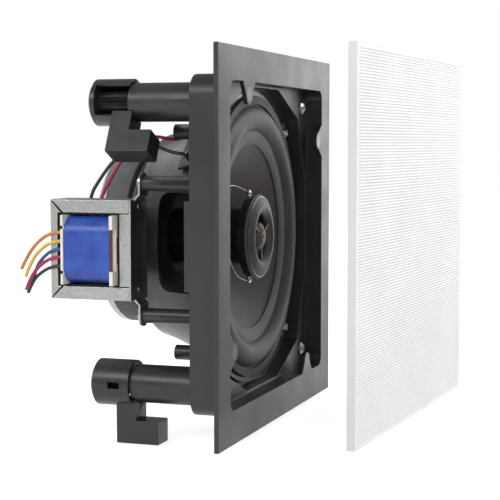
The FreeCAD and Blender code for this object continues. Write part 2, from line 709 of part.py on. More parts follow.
def tweeter_faceplate():
    """Rounded ring with a bullet plug held on three spokes."""
    rear = tweeter_body_front
    lip = (TWEETER_RIM_R - TWEETER_MOUTH_R) / 2
    ring = spun([
        line((TWEETER_MOUTH_R, rear), (TWEETER_MOUTH_R, rear - TWEETER_RIM_THICK / 2)),
        arc((TWEETER_MOUTH_R, rear - TWEETER_RIM_THICK / 2), (TWEETER_MOUTH_R + lip, TWEETER_FRONT),
            (TWEETER_RIM_R, rear - TWEETER_RIM_THICK / 2)),
        line((TWEETER_RIM_R, rear - TWEETER_RIM_THICK / 2), (TWEETER_RIM_R, rear)),
        line((TWEETER_RIM_R, rear), (TWEETER_MOUTH_R, rear)),
    ])
    tip = TWEETER_FRONT - PLUG_TIP
    plug = spun([
        line((PLUG_HOLE_R, rear), (PLUG_HOLE_R, tip)),
        arc((PLUG_HOLE_R, tip), (PLUG_SHOULDER_R, tip + PLUG_TIP), (PLUG_R, rear - PLUG_TIP)),
        line((PLUG_R, rear - PLUG_TIP), (PLUG_R, rear)),
        line((PLUG_R, rear), (PLUG_HOLE_R, rear)),
    ])
    spoke = block(PLUG_SHOULDER_R, TWEETER_MOUTH_R + SPOKE_WIDTH, rear - TWEETER_RIM_THICK / 2, rear,
                  -SPOKE_WIDTH / 2, SPOKE_WIDTH / 2)
    step = 360 / SPOKE_COUNT
    return joined(ring, plug, *[about_axis(spoke, SPOKE_TURN + step * turn) for turn in range(SPOKE_COUNT)])


def tweeter_housing():
    """Wide front body and narrow rear cup, moulded as one."""
    wall = TWEETER_WALL
    front = tweeter_body_front
    step = tweeter_body_rear
    rear = tweeter_cup_rear
    return turned((
        (TWEETER_BODY_R, front), (TWEETER_BODY_R, step), (TWEETER_CUP_R, step), (TWEETER_CUP_R, rear),
        (wall, rear), (wall, rear - wall), (TWEETER_CUP_R - wall, rear - wall),
        (TWEETER_CUP_R - wall, step - wall), (TWEETER_BODY_R - wall, step - wall),
        (TWEETER_BODY_R - wall, front),
    ))


def tweeter_motor():
    """Steel cup, magnet and pole plate stacked in the tweeter's rear cup."""
    wall = TWEETER_WALL
    cup_r = TWEETER_CUP_R - wall - FIT_GAP
    pole_r = DOME_R - TWEETER_GAP / 2
    front = tweeter_body_rear - wall
    plate_rear = front + TWEETER_PLATE_THICK
    magnet_back = plate_rear + TWEETER_MAGNET_THICK
    inner = cup_r - wall
    yoke = rod(cup_r, 0, 0, front, magnet_back + wall).cut(rod(inner, 0, 0, front - CUT_PAST, magnet_back))
    magnet = rod(pole_r - TWEETER_MAGNET_STEP, 0, 0, plate_rear, magnet_back)
    return yoke, magnet, rod(pole_r, 0, 0, front, plate_rear)


def tweeter_dome():
    """Soft dome with its half-roll and flat mounting ring."""
    seat = tweeter_body_rear - TWEETER_WALL
    thick = DOME_THICK
    front = seat - thick
    edge = TWEETER_BODY_R - TWEETER_WALL - FIT_GAP
    roll = DOME_R + DOME_ROLL_WIDTH
    half = (roll + DOME_R) / 2
    tip = front - DOME_HEIGHT
    return spun([
        line((0, tip + thick), (0, tip)),
        crown(DOME_R, tip, front),
        arc((DOME_R, front), (half, front - DOME_ROLL_HEIGHT), (roll, front)),
        line((roll, front), (edge, front)),
        line((edge, front), (edge, seat)),
        line((edge, seat), (roll, seat)),
        arc((roll, seat), (half, seat - DOME_ROLL_HEIGHT), (DOME_R, seat)),
        crown(DOME_R, tip + thick, seat),
    ])


def tweeter_terminals():
    """Solder tags above and below the tweeter body, each with a blob of solder."""
    out = TWEETER_BODY_R + TAG_OUT
    rear = tweeter_body_rear + TAG_THICK
    tags = []
    for side in (1, -1):
        ends = sorted((side * (TWEETER_CUP_R + TAG_THICK), side * out))
        tag = block(-TAG_WIDTH / 2, TAG_WIDTH / 2, tweeter_body_rear, rear, *ends)
        blob = Part.makeSphere(SOLDER_R, vec(0, rear, side * (out - SOLDER_R)))
        tags.append(joined(tag, blob))
    return Part.makeCompound(tags)


def on_strip(solid):
    """Solid moved from the strip's own axes to its place on the basket's slope."""
    angle = math.radians(STRIP_ANGLE)
    slope = math.atan2(BASKET_MOUTH_R - BASKET_WAIST_R, BASKET_WAIST_DEPTH)
    radial = vec(math.cos(angle), 0, math.sin(angle))
    outward = radial * math.cos(slope) + vec(0, math.sin(slope), 0)
    along = vec(0, math.cos(slope), 0) - radial * math.sin(slope)
    foot = radial * basket_wall_r(STRIP_DEPTH) + vec(0, rim_rear + STRIP_DEPTH, 0)
    turn = FreeCAD.Rotation(outward.cross(along), outward, along, "XYZ")
    copy = solid.copy()
    copy.Placement = FreeCAD.Placement(foot, turn).multiply(copy.Placement)
    return copy


def lug_bars(gap):
    """The strip's two solder lugs in its own axes, grown by a gap for their slots."""
    width = LUG_WIDTH / 2 + gap
    thick = LUG_THICK / 2 + gap
    places = [side * LUG_SPREAD / 2 for side in (-1, 1)]
    return [block(x - width, x + width, -LUG_IN, LUG_OUT, -thick, thick) for x in places]


def terminal_strip():
    """Thin insulating strip against the basket, slotted for its lugs."""
    plate = block(-STRIP_WIDTH / 2, STRIP_WIDTH / 2, FIT_GAP, FIT_GAP + STRIP_THICK,
                  -STRIP_LENGTH / 2, STRIP_LENGTH / 2)
    return on_strip(plate.cut(Part.makeCompound(lug_bars(FIT_GAP / 2))))


def core_block(x_half, y0, y1, z_half):
    """Box centred on the transformer in X and Z."""
    return block(TRANSFORMER_X - x_half, TRANSFORMER_X + x_half, y0, y1,
                 TRANSFORMER_Z - z_half, TRANSFORMER_Z + z_half)


def transformer_core():
    """Stack of laminations with a centre leg along Y between two windows."""
    half = CORE_HEIGHT / 2
    stack = core_block(core_half, core_front, core_rear, half)
    window = core_block(case_half, core_front + CORE_LEG, core_rear - CORE_LEG, half - CORE_LEG)
    return stack.cut(window.cut(core_block(case_half, core_front, core_rear, CORE_LEG)))


def bobbin_sizes():
    """Ends in Y and half sizes in X and Z of the bobbin's tube and flanges."""
    y0 = core_front + CORE_LEG + BOBBIN_GAP
    y1 = core_rear - CORE_LEG - BOBBIN_GAP
    tube_x = core_half + BOBBIN_GAP + BOBBIN_WALL
    tube_z = CORE_LEG + BOBBIN_GAP + BOBBIN_WALL
    flange_z = CORE_HEIGHT / 2 - CORE_LEG - BOBBIN_GAP
    return y0, y1, tube_x, tube_z, core_half + BOBBIN_PROUD, flange_z


def transformer_bobbin():
    """Moulded bobbin around the centre leg, its flanges notched for the leads."""
    y0, y1, tube_x, tube_z, flange_x, flange_z = bobbin_sizes()
    body = joined(
        core_block(tube_x, y0, y1, tube_z),
        core_block(flange_x, y0, y0 + BOBBIN_FLANGE, flange_z),
        core_block(flange_x, y1 - BOBBIN_FLANGE, y1, flange_z),
    )
    body = body.cut(core_block(core_half + BOBBIN_GAP, y0 - CUT_PAST, y1 + CUT_PAST, CORE_LEG + BOBBIN_GAP))
    notch_x = flange_x - BOBBIN_NOTCH_DEPTH
    notch_z = flange_z - BOBBIN_NOTCH
    for start in (y0, y1 - BOBBIN_FLANGE):
        end = start + BOBBIN_FLANGE
        notches = core_block(flange_x + CUT_PAST, start, end, notch_z)
        notches = notches.cut(core_block(flange_x + CUT_PAST, start, end, notch_z - BOBBIN_NOTCH))
        body = body.cut(notches.cut(core_block(notch_x, start, end, notch_z)))
    for (x, _, z), *_ in TAP_ROUTES.values():
        body = body.cut(rod(LEAD_R + LEAD_HOLE_CLEARANCE, x, z, y1 - BOBBIN_FLANGE, y1))
    return body


def transformer_winding():
    """Taped winding that fills the bobbin, with rounded corners."""
    y0, y1, tube_x, tube_z, flange_x, flange_z = bobbin_sizes()
    y0 += BOBBIN_FLANGE
    y1 -= BOBBIN_FLANGE
    coil = core_block(flange_x - TAPE_BELOW_FLANGE, y0, y1, flange_z - TAPE_BELOW_FLANGE)
    coil = coil.makeFillet(TAPE_ROUND, edges_along(coil, vec(0, 1, 0)))
    return coil.cut(core_block(tube_x, y0 - CUT_PAST, y1 + CUT_PAST, tube_z))


def transformer_frame():
    """Channel of zinc-plated sheet folded over the core, mitred at its two corners."""
    half = CORE_HEIGHT / 2
    rear = core_rear + FRAME_SHEET
    outer = half + FRAME_SHEET
    channel = core_block(case_half, core_front, rear, outer)
    channel = channel.cut(core_block(core_half, core_front - CUT_PAST, core_rear, half))
    channel = channel.cut(core_block(case_half + CUT_PAST, core_front - CUT_PAST, rear - FRAME_LIP,
                                     outer - FRAME_LIP))
    for side in (1, -1):
        slit = block(TRANSFORMER_X - case_half - CUT_PAST, TRANSFORMER_X + case_half + CUT_PAST,
                     -2 * FRAME_LIP, -FRAME_SHEET, -MITRE_SLIT / 2, MITRE_SLIT / 2)
        slit.rotate(vec(0, 0, 0), vec(1, 0, 0), side * 45)
        slit.translate(vec(0, rear, TRANSFORMER_Z + side * outer))
        channel = channel.cut(slit)
    return channel


def transformer_mount():
    """Front plate with two ears jogged forward to the posts."""
    plate_front = core_front - FRAME_SHEET
    top = CORE_HEIGHT / 2 + FRAME_SHEET
    pieces = [core_block(case_half, plate_front, core_front, top)]
    jog_end = top + EAR_JOG
    tip = POST_SPACING / 2
    jog = ((core_front, top - FRAME_SHEET), (core_front, top), (ear_rear, jog_end), (ear_rear, tip),
           (POST_END, tip), (POST_END, jog_end - FRAME_SHEET / 2), (plate_front, top - FRAME_SHEET / 2),
           (plate_front, top - FRAME_SHEET))
    for side in (1, -1):
        corners = [vec(TRANSFORMER_X - EAR_WIDTH / 2, y, TRANSFORMER_Z + side * z) for y, z in jog]
        pieces.append(Part.Face(Part.makePolygon(corners + corners[:1])).extrude(vec(EAR_WIDTH, 0, 0)))
    for x, z in post_places():
        pieces.append(rod(EAR_WIDTH / 2, x, z, POST_END, ear_rear))
    plate = joined(*pieces)
    for x, z in post_places():
        hole_r = MOUNT_SCREW_R + SCREW_HOLE_CLEARANCE
        plate = plate.cut(rod(hole_r, x, z, POST_END - CUT_PAST, ear_rear + CUT_PAST))
    return plate


def pan_screw(shank_r, head_r, head_height, x, z, head_y, tip_y):
    """Screw along Y whose head lies against head_y."""
    toward = 1 if tip_y > head_y else -1
    top = head_y - toward * head_height
    shank = rod(shank_r, x, z, min(head_y, tip_y), max(head_y, tip_y))
    depth = head_height * SOCKET_DEPTH
    head = Part.makeCone(head_r, head_r * HEAD_CROWN, head_height, vec(x, head_y, z), vec(0, -toward, 0))
    socket = Part.makeCone(head_r * SOCKET_FLOOR, head_r * SOCKET_MOUTH, depth,
                           vec(x, top + toward * depth, z), vec(0, -toward, 0))
    return joined(shank, head).cut(socket)


def place_clamps():
    """Export each corner's screw and clamp, turned to its place."""
    for number, (side_x, side_z, angle, hand) in enumerate(CORNERS, start=1):
        at = vec(side_x * tower_at, 0, side_z * tower_at)
        arm = about_axis(clamp(hand), angle)
        arm.translate(at)
        export(f"clamp_{number}", arm)
        screw = clamp_screw()
        screw.translate(at)
        export(f"clamp_screw_{number}", screw)


def export(node, shape):
    """Write one node."""
    shape.exportStep(f"parts/{node}.step")


os.makedirs("parts", exist_ok=True)

# Frame and grille
export("baffle_frame", baffle_frame())
export("grille_magnets", Part.makeCompound(four_ways(magnet_disc(0, -FLANGE_THICK))))
export("grille_pan", grille_pan())
place_clamps()

# Woofer
export("mounting_gasket", tube(gasket_r, seat_hole_r, rim_rear, SEAT_DEPTH))
export("basket", basket())
export("front_gasket", tube(gasket_r, ROLL_OUTER_R + SURROUND_THICK, flange_front - FRONT_GASKET_THICK,
                            flange_front))
export("surround", surround())
export("cone", cone())
export("cone_eyelets", cone_eyelets())
export("voice_coil_former", tube(FORMER_R, former_inner_r, former_front, former_front + FORMER_LENGTH))
export("voice_coil_winding", tube(winding_r, FORMER_R, coil_front, coil_front + WINDING_LENGTH))
export("spider", spider())
export("top_plate", tube(TOP_PLATE_R, winding_r + GAP_WIDTH, basket_rear, top_plate_rear))
export("magnet", tube(MAGNET_R, MAGNET_BORE_R, top_plate_rear, magnet_rear))
export("pole_yoke", turned((
    (0, basket_rear), (POLE_R, basket_rear), (POLE_R, magnet_rear), (MAGNET_R, magnet_rear),
    (MAGNET_R, yoke_rear - YOKE_BEVEL), (MAGNET_R - YOKE_BEVEL, yoke_rear), (0, yoke_rear),
)))
export("driver_screws", Part.makeCompound([
    pan_screw(DRIVER_SCREW_R, DRIVER_HEAD_R, DRIVER_HEAD_HEIGHT, x, z, rim_front, driver_screw_tip)
    for x, z in diagonal_places(DRIVER_SCREW_OFFSET)
]))
export("terminal_strip", terminal_strip())
export("terminal_lugs", on_strip(Part.makeCompound(lug_bars(0))))
export("tinsel_leads", Part.makeCompound([lead(route, TINSEL_R) for route in TINSEL_ROUTES]))

# Tweeter
yoke, disc, pole_plate = tweeter_motor()
export("tweeter_yoke", yoke)
export("tweeter_magnet", disc)
export("tweeter_pole_plate", pole_plate)
export("tweeter_housing", tweeter_housing())
export("tweeter_dome", tweeter_dome())
export("tweeter_faceplate", tweeter_faceplate())
export("tweeter_stem", rod(STEM_R, 0, 0, tweeter_cup_rear, basket_rear))
export("tweeter_terminals", tweeter_terminals())
export("tweeter_leads", Part.makeCompound([lead(route, TWEETER_LEAD_R) for route in TWEETER_LEAD_ROUTES]))
export("crossover_capacitor", Part.makeCylinder(
    CAPACITOR_R, CAPACITOR_LENGTH, vec(-CAPACITOR_LENGTH / 2, capacitor_depth, 0), vec(1, 0, 0)))

# Transformer and leads
export("transformer_core", transformer_core())
export("transformer_bobbin", transformer_bobbin())
export("transformer_winding", transformer_winding())
export("transformer_frame", transformer_frame())
export("transformer_mount", transformer_mount())
export("transformer_screws", Part.makeCompound([
    pan_screw(MOUNT_SCREW_R, MOUNT_HEAD_R, MOUNT_HEAD_HEIGHT, x, z, ear_rear, mount_screw_tip)
    for x, z in post_places()
]))
for colour, route in TAP_ROUTES.items():
    export(f"tap_lead_{colour}", lead(route, LEAD_R))
for colour, route in SECONDARY_ROUTES.items():
    export(f"secondary_lead_{colour}", lead(route, LEAD_R))
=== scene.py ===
"""Looks, leads and studio of a square in-wall coaxial loudspeaker with its grille lifted off."""

import logging
import math
from collections.abc import Iterable, Mapping, Sequence
from dataclasses import dataclass
from enum import Enum
from functools import cache
from itertools import product
from typing import Any, Self

import bmesh
import bpy
from mathutils import Matrix, Vector


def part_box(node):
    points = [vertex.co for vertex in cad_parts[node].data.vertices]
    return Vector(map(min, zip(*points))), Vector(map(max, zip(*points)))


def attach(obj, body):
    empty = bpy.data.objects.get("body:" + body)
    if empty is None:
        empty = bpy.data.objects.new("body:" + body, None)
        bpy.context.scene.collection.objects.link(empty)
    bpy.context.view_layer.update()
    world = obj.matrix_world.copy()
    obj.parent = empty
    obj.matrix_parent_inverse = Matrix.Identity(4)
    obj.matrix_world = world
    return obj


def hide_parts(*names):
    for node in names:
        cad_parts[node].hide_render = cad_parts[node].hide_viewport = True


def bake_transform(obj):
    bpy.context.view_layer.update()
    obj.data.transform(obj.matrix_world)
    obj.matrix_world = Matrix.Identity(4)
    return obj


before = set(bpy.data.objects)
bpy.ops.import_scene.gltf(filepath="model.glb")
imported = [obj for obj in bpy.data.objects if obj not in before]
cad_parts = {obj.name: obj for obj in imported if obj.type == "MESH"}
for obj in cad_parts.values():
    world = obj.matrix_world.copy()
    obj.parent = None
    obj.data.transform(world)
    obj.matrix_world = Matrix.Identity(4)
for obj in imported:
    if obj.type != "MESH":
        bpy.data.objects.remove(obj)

log = logging.getLogger("speaker")

MM = 0.001
TURN_STEPS = 160
SECTORS = 16
SECTOR_STEPS = 20
RIVET_STEPS = 28
EDGE_TO_ROUNDING = 3.0
WELD_MM = 0.002
OVERCUT_MM = 1.0
FLAT_DEGREES = 0.5
SHARP_DEGREES = 32.0
SMOOTH_DEGREES = 36.0
MITRE_DEGREES = 45.0
CLAMP_TURNS = (26.0, 90.0, 180.0, 0.0)
SLEEVE_RADIUS = 1.0
TINSEL_RADIUS = 0.5
TINNED_RADIUS = 0.4
PLASTIC_IOR = 1.5
GRAIN_DETAIL = 3.0
PATCH_DETAIL = 5.0
PATCH_SPREAD = {"From Min": 0.35, "From Max": 0.65}
SMEAR_DETAIL = 6.0
SMEAR_TO_FLECK = 4.0
SMEAR_SHARE = 0.55
CREASE_DETAIL = 2.0
CREASE_STRETCH = (1.0, 0.25, 1.0)
# Scale of a wave texture that repeats once in a metre
WAVE_SCALE = math.pi / 10
# Sockets of a mix node, by number because several share a name
MIX_NUMBERS = (2, 3)
MIX_COLOURS = (6, 7)
MIXED_COLOUR = 2

Spot = tuple[float, float]
Point = tuple[float, float, float]
Outline = Sequence[Spot]
Tree = bpy.types.NodeTree
Socket = bpy.types.NodeSocket


def linear(colour: str) -> tuple[float, float, float, float]:
    """Turn an sRGB hex colour into linear light.

    Args:
        colour: Hex colour such as "#a0b0c0".

    Returns:
        Linear red, green, blue and an alpha of one.
    """
    shares = [int(colour[start:start + 2], 16) / 255 for start in (1, 3, 5)]
    bent = [share / 12.92 if share <= 0.04045 else ((share + 0.055) / 1.055) ** 2.4 for share in shares]
    return (*bent, 1.0)


def cleared(holder: bpy.types.Material | bpy.types.World) -> Tree:
    """Switch a material or world to nodes and empty its tree.

    Args:
        holder: The material or world.

    Returns:
        Its node tree.
    """
    holder.use_nodes = True
    holder.node_tree.nodes.clear()
    return holder.node_tree


def add_node(tree: Tree, kind: str, settings: Mapping[Any, Any] | None = None,
             links: Mapping[Any, Socket] | None = None) -> bpy.types.Node:
    """Add a shader node with its settings and links.

    Args:
        tree: Node tree that takes the node.
        kind: Blender's type name of the node.
        settings: Input values by socket name or number, and properties by name.
        links: Output sockets to link, by the new node's input.

    Returns:
        The new node.
    """
    node = tree.nodes.new(kind)
    for key, value in (settings or {}).items():
        if isinstance(key, str) and hasattr(node, key):
            setattr(node, key, value)
        else:
            node.inputs[key].default_value = value
    for key, source in (links or {}).items():
        tree.links.new(source, node.inputs[key])
    return node


def noise(tree: Tree, place: Socket, size_mm: float, detail: float) -> Socket:
    """Cloudy pattern from zero to one, with clouds of a size and layers of finer ones."""
    settings = {"Scale": 1 / (size_mm * MM), "Detail": detail}
    return add_node(tree, "ShaderNodeTexNoise", settings, {"Vector": place}).outputs["Fac"]


def waves(tree: Tree, place: Socket, pitch_mm: float, settings: Mapping[str, Any]) -> Socket:
    """Pattern from zero to one of bands or rings at a pitch, with the wave node's other settings."""
    scaled = {"Scale": WAVE_SCALE / (pitch_mm * MM), **settings}
    return add_node(tree, "ShaderNodeTexWave", scaled, {"Vector": place}).outputs["Fac"]


@dataclass(frozen=True)
class Finish:
    """A surface with patches of two colours and a fine grain."""

    name: str
    slot: str  # of the record
    colour: str
    patch_colour: str  # mixed in patches
    roughness: float
    patch_mm: float
    grain_mm: float
    grain_depth_mm: float
    swing: float = 0.05  # either way from patch to patch
    metallic: float = 0.0  # one for bare metal
    sheen: float = 0.0  # weight of a soft fuzz

    def height(self, tree: Tree, place: Socket) -> Socket:
        """Height of the surface, from zero to one."""
        return noise(tree, place, self.grain_mm, GRAIN_DETAIL)

    def shade(self, tree: Tree, place: Socket) -> Socket:
        """Share of the second colour."""
        patches = noise(tree, place, self.patch_mm, PATCH_DETAIL)
        return add_node(tree, "ShaderNodeMapRange", PATCH_SPREAD, {"Value": patches}).outputs[0]


@cache
def material_of(finish: Finish) -> bpy.types.Material:
    """Build the material of a finish, once.

    Args:
        finish: The finish.

    Returns:
        The material.
    """
    material = bpy.data.materials.new(finish.name)
    tree = cleared(material)
    place = add_node(tree, "ShaderNodeTexCoord").outputs["Object"]
    shade = finish.shade(tree, place)
    main, patch = MIX_COLOURS
    colours = {"data_type": "RGBA", main: linear(finish.colour), patch: linear(finish.patch_colour)}
    colour = add_node(tree, "ShaderNodeMix", colours, {0: shade})
    span = {"To Min": finish.roughness - finish.swing, "To Max": finish.roughness + finish.swing}
    rough = add_node(tree, "ShaderNodeMapRange", span, {"Value": shade})
    bump = add_node(tree, "ShaderNodeBump", {"Distance": finish.grain_depth_mm * MM, "Strength": 1.0},
                    {"Height": finish.height(tree, place)})
    surface = add_node(
        tree, "ShaderNodeBsdfPrincipled",
        {"Metallic": finish.metallic, "IOR": PLASTIC_IOR, "Sheen Weight": finish.sheen},
        {"Base Color": colour.outputs[MIXED_COLOUR], "Roughness": rough.outputs[0],
         "Normal": bump.outputs["Normal"]},
    )
    add_node(tree, "ShaderNodeOutputMaterial", None, {"Surface": surface.outputs["BSDF"]})
    return material


@dataclass(frozen=True)
class BandedFinish(Finish):
    """A finish with fine bands along one axis, such as laminations or wound wire."""

    band_mm: float = 1.0
    axis: str = "X"  # that the bands follow one another along

    def shade(self, tree: Tree, place: Socket) -> Socket:
        """Slightly uneven bands of the second colour."""
        return waves(tree, place, self.band_mm, {"bands_direction": self.axis, "Distortion": 0.6})


@dataclass(frozen=True)
class RingedFinish(Finish):
    """A finish with fine rings about the speaker's axis, as turning or pressing leaves."""

    ring_mm: float = 1.0

    def height(self, tree: Tree, place: Socket) -> Socket:
        """Slightly uneven rings about Y."""
        rings = {"wave_type": "RINGS", "rings_direction": "Y", "Distortion": 1.5}
        return waves(tree, place, self.ring_mm, rings)


@dataclass(frozen=True)
class SpangledFinish(Finish):
    """Zinc plate, whose crystals reflect in flecks of different brightness."""

    def shade(self, tree: Tree, place: Socket) -> Socket:
        """Mix flecks with softer smears.

        Args:
            tree: Node tree of the material.
            place: Object coordinates.

        Returns:
            Socket that gives the share of the second colour.
        """
        scale = {"Scale": 1 / (self.patch_mm * MM)}
        cells = add_node(tree, "ShaderNodeTexVoronoi", scale, {"Vector": place})
        fleck = add_node(tree, "ShaderNodeSeparateColor", None, {"Color": cells.outputs["Color"]})
        smear = noise(tree, place, SMEAR_TO_FLECK * self.patch_mm, SMEAR_DETAIL)
        both = zip(MIX_NUMBERS, (fleck.outputs["Red"], smear))
        return add_node(tree, "ShaderNodeMix", {0: SMEAR_SHARE}, dict(both)).outputs[0]


@dataclass(frozen=True)
class WovenFinish(Finish):
    """Cloth with crossed threads."""

    thread_mm: float = 0.8

    def height(self, tree: Tree, place: Socket) -> Socket:
        """Threads both ways."""
        ways = [waves(tree, place, self.thread_mm, {"bands_direction": axis}) for axis in ("X", "Z")]
        return add_node(tree, "ShaderNodeMath", {"operation": "MAXIMUM"}, dict(enumerate(ways))).outputs[0]


@dataclass(frozen=True)
class CreasedFinish(Finish):
    """A wrapped film, whose creases run along Y."""

    def height(self, tree: Tree, place: Socket) -> Socket:
        """Long soft creases."""
        drawn = add_node(tree, "ShaderNodeMapping", {"Scale": CREASE_STRETCH}, {"Vector": place})
        return noise(tree, drawn.outputs[0], self.grain_mm, CREASE_DETAIL)


class Surface(Enum):
    """The speaker's finishes, each named for its material and how it was made."""

    # Injection-moulded ABS with a spark-eroded satin face: soft wide highlights, faint speckle
    FRAME = Finish("moulded_abs_black", "frame_abs", "#252424", "#2c2b2b", 0.4, 30.0, 0.7, 0.01)
    CLAMP = Finish("moulded_abs_clamp", "frame_abs", "#202021", "#272728", 0.36, 14.0, 0.6, 0.01)
    TWEETER = Finish("moulded_abs_tweeter", "tweeter_abs", "#3b3531", "#423c37", 0.5, 12.0, 0.5, 0.008)
    # The same plastic from a polished tool: tighter highlights
    HOUSING = Finish("moulded_abs_gloss", "tweeter_abs", "#1c1b1c", "#232223", 0.26, 10.0, 0.6, 0.008)
    # Zinc-plated sheet: cool grey, mottled with fine crystals and dull smears
    ZINC = SpangledFinish("zinc_plated_sheet", "zinc_steel", "#bcbdba", "#8b8d8a", 0.36, 0.8, 0.4, 0.01,
                          swing=0.08, metallic=1.0)
    # Turned and plated steel: brighter, with fine tool rings
    PLATE = RingedFinish("zinc_plated_turned", "zinc_steel", "#b4b5b2", "#a8a9a6", 0.34, 5.0, 0.4, 0.006,
                         swing=0.03, metallic=1.0, ring_mm=0.5)
    SCREW = Finish("zinc_plated_screw", "zinc_steel", "#9c9c99", "#7a7a77", 0.3, 2.0, 0.4, 0.008, 0.05, 1.0)
    # Disc magnets under black lacquer: they hardly stand out from the frame
    LACQUER = Finish("lacquered_magnet", "nickel", "#424244", "#4c4c4e", 0.34, 4.0, 0.5, 0.008)
    # White powder coat: fine orange peel, no gloss
    GRILLE = Finish("powder_coat_white", "grille_white", "#dededf", "#dbdbdd", 0.55, 40.0, 0.7, 0.006)
    # Cut foam: fine pores, near black
    FOAM = Finish("closed_cell_foam", "foam", "#1f1e1e", "#2a2929", 0.85, 2.0, 0.6, 0.06)
    # Die-cut foam with its skin on: as dull and warm as the rubber that it holds down
    GASKET = Finish("skinned_foam", "foam", "#332e2b", "#3b3632", 0.62, 12.0, 0.6, 0.03)
    # Satin paint on pressed steel: slight orange peel
    BASKET = Finish("painted_steel_black", "basket_black", "#262728", "#2f3031", 0.32, 16.0, 1.4, 0.012)
    # Butyl rubber: dull, with a faintly brown bloom
    RUBBER = Finish("butyl_rubber", "rubber", "#37322f", "#403b37", 0.55, 20.0, 0.7, 0.015, sheen=0.05)
    # Coated polypropylene: dull, with a slight drag from moulding
    CONE = RingedFinish("polypropylene_cone", "cone_black", "#3a332f", "#423b36", 0.55, 26.0, 0.7, 0.006,
                        ring_mm=0.8)
    # Tinned brass and solder: pale and shiny, uneven in small patches
    BRASS = Finish("tinned_brass", "brass", "#c9bd9c", "#a8987a", 0.32, 2.0, 0.4, 0.02, 0.08, 1.0)
    SOLDER = Finish("solder", "brass", "#dededc", "#bcbcbc", 0.2, 1.5, 0.5, 0.03, 0.06, 1.0)
    # Dark polyimide film over foil: smooth and slightly brown
    FORMER = Finish("polyimide_former", "aluminium", "#1d1a18", "#262220", 0.34, 8.0, 0.6, 0.01)
    # Enamelled wire, 0.4 mm a turn, and the same under varnish, darker and less even
    COPPER = BandedFinish("enamelled_copper", "copper", "#b0673f", "#6e3a20", 0.32, 4.0, 0.3, 0.02,
                          swing=0.06, metallic=0.9, band_mm=0.4, axis="Y")
    VARNISH = BandedFinish("varnished_winding", "copper", "#8a5a36", "#5d3a22", 0.4, 3.0, 0.4, 0.05,
                           swing=0.08, band_mm=0.7, axis="Z")
    # Braided copper: broken glints of fine strands
    TINSEL = Finish("braided_copper", "copper", "#b58a62", "#7b5a3c", 0.45, 1.0, 0.5, 0.05, 0.08, 0.8)
    # Cotton stiffened with black resin: woven, no gloss
    SPIDER = WovenFinish("resin_cloth", "spider_cloth", "#242321", "#2d2b29", 0.78, 8.0, 0.8, 0.12)
    # Ground ferrite: dull graphite grey with a dusty cast
    FERRITE = Finish("ground_ferrite", "ferrite", "#606364", "#55585a", 0.6, 9.0, 0.5, 0.015)
    # Hard black fibre board: fine fibres, dull
    BOARD = Finish("vulcanised_fibre", "phenolic", "#211f1e", "#2c2927", 0.55, 5.0, 0.4, 0.02)
    # Doped silk: a fine weave, filled and slightly shiny
    DOME = WovenFinish("doped_silk", "dome_silk", "#1b1b1c", "#222223", 0.6, 4.0, 0.5, 0.03, thread_mm=0.5)
    # Nickel plate and tinned wire: bright greys, the wire the shinier
    NICKEL = Finish("nickel_plated_magnet", "nickel", "#8f8d8a", "#7d7b78", 0.38, 4.0, 0.5, 0.01, 0.06, 1.0)
    TINNED = Finish("tinned_wire", "tinned_wire", "#d6d3cc", "#b0ada6", 0.28, 1.0, 0.4, 0.02, 0.06, 1.0)
    # Shrunk sleeve: smooth blue-black
    SLEEVE = Finish("shrink_sleeve", "capacitor_sleeve", "#23252b", "#2c2f37", 0.3, 6.0, 0.5, 0.01)
    # Varnished laminations: dark edges of thin sheet, 0.5 mm each, drawn 0.9 mm wide so that they show
    LAMINATION = BandedFinish("varnished_laminations", "lamination", "#3a3632", "#211f1d", 0.45, 6.0, 0.5,
                              0.03, swing=0.1, metallic=0.6, band_mm=0.9, axis="X")
    # Moulded nylon: milky, slightly yellow in random patches
    BOBBIN = Finish("moulded_nylon", "bobbin_white", "#f2ede3", "#e4dac8", 0.4, 7.0, 0.8, 0.012)
    # Polyester tape: satin film with creases across it
    TAPE = CreasedFinish("polyester_tape", "tape_blue", "#26429c", "#3258b4", 0.36, 8.0, 2.2, 0.08, 0.06)
    # PVC sleeves: even colour, soft shine
    LEAD_ORANGE = Finish("pvc_orange", "lead_orange", "#d08a4a", "#c67b3c", 0.4, 5.0, 0.6, 0.01)
    LEAD_YELLOW = Finish("pvc_yellow", "lead_yellow", "#e0c258", "#d4b246", 0.4, 5.0, 0.6, 0.01)
    LEAD_BLUE = Finish("pvc_blue", "lead_blue", "#2f5f93", "#275284", 0.4, 5.0, 0.6, 0.01)
    LEAD_RED = Finish("pvc_red", "lead_red", "#b32a52", "#a32146", 0.4, 5.0, 0.6, 0.01)
    LEAD_BLACK = Finish("pvc_black", "lead_black", "#232326", "#2b2b2e", 0.36, 5.0, 0.6, 0.01)


Dressing = tuple[str, Surface, float]


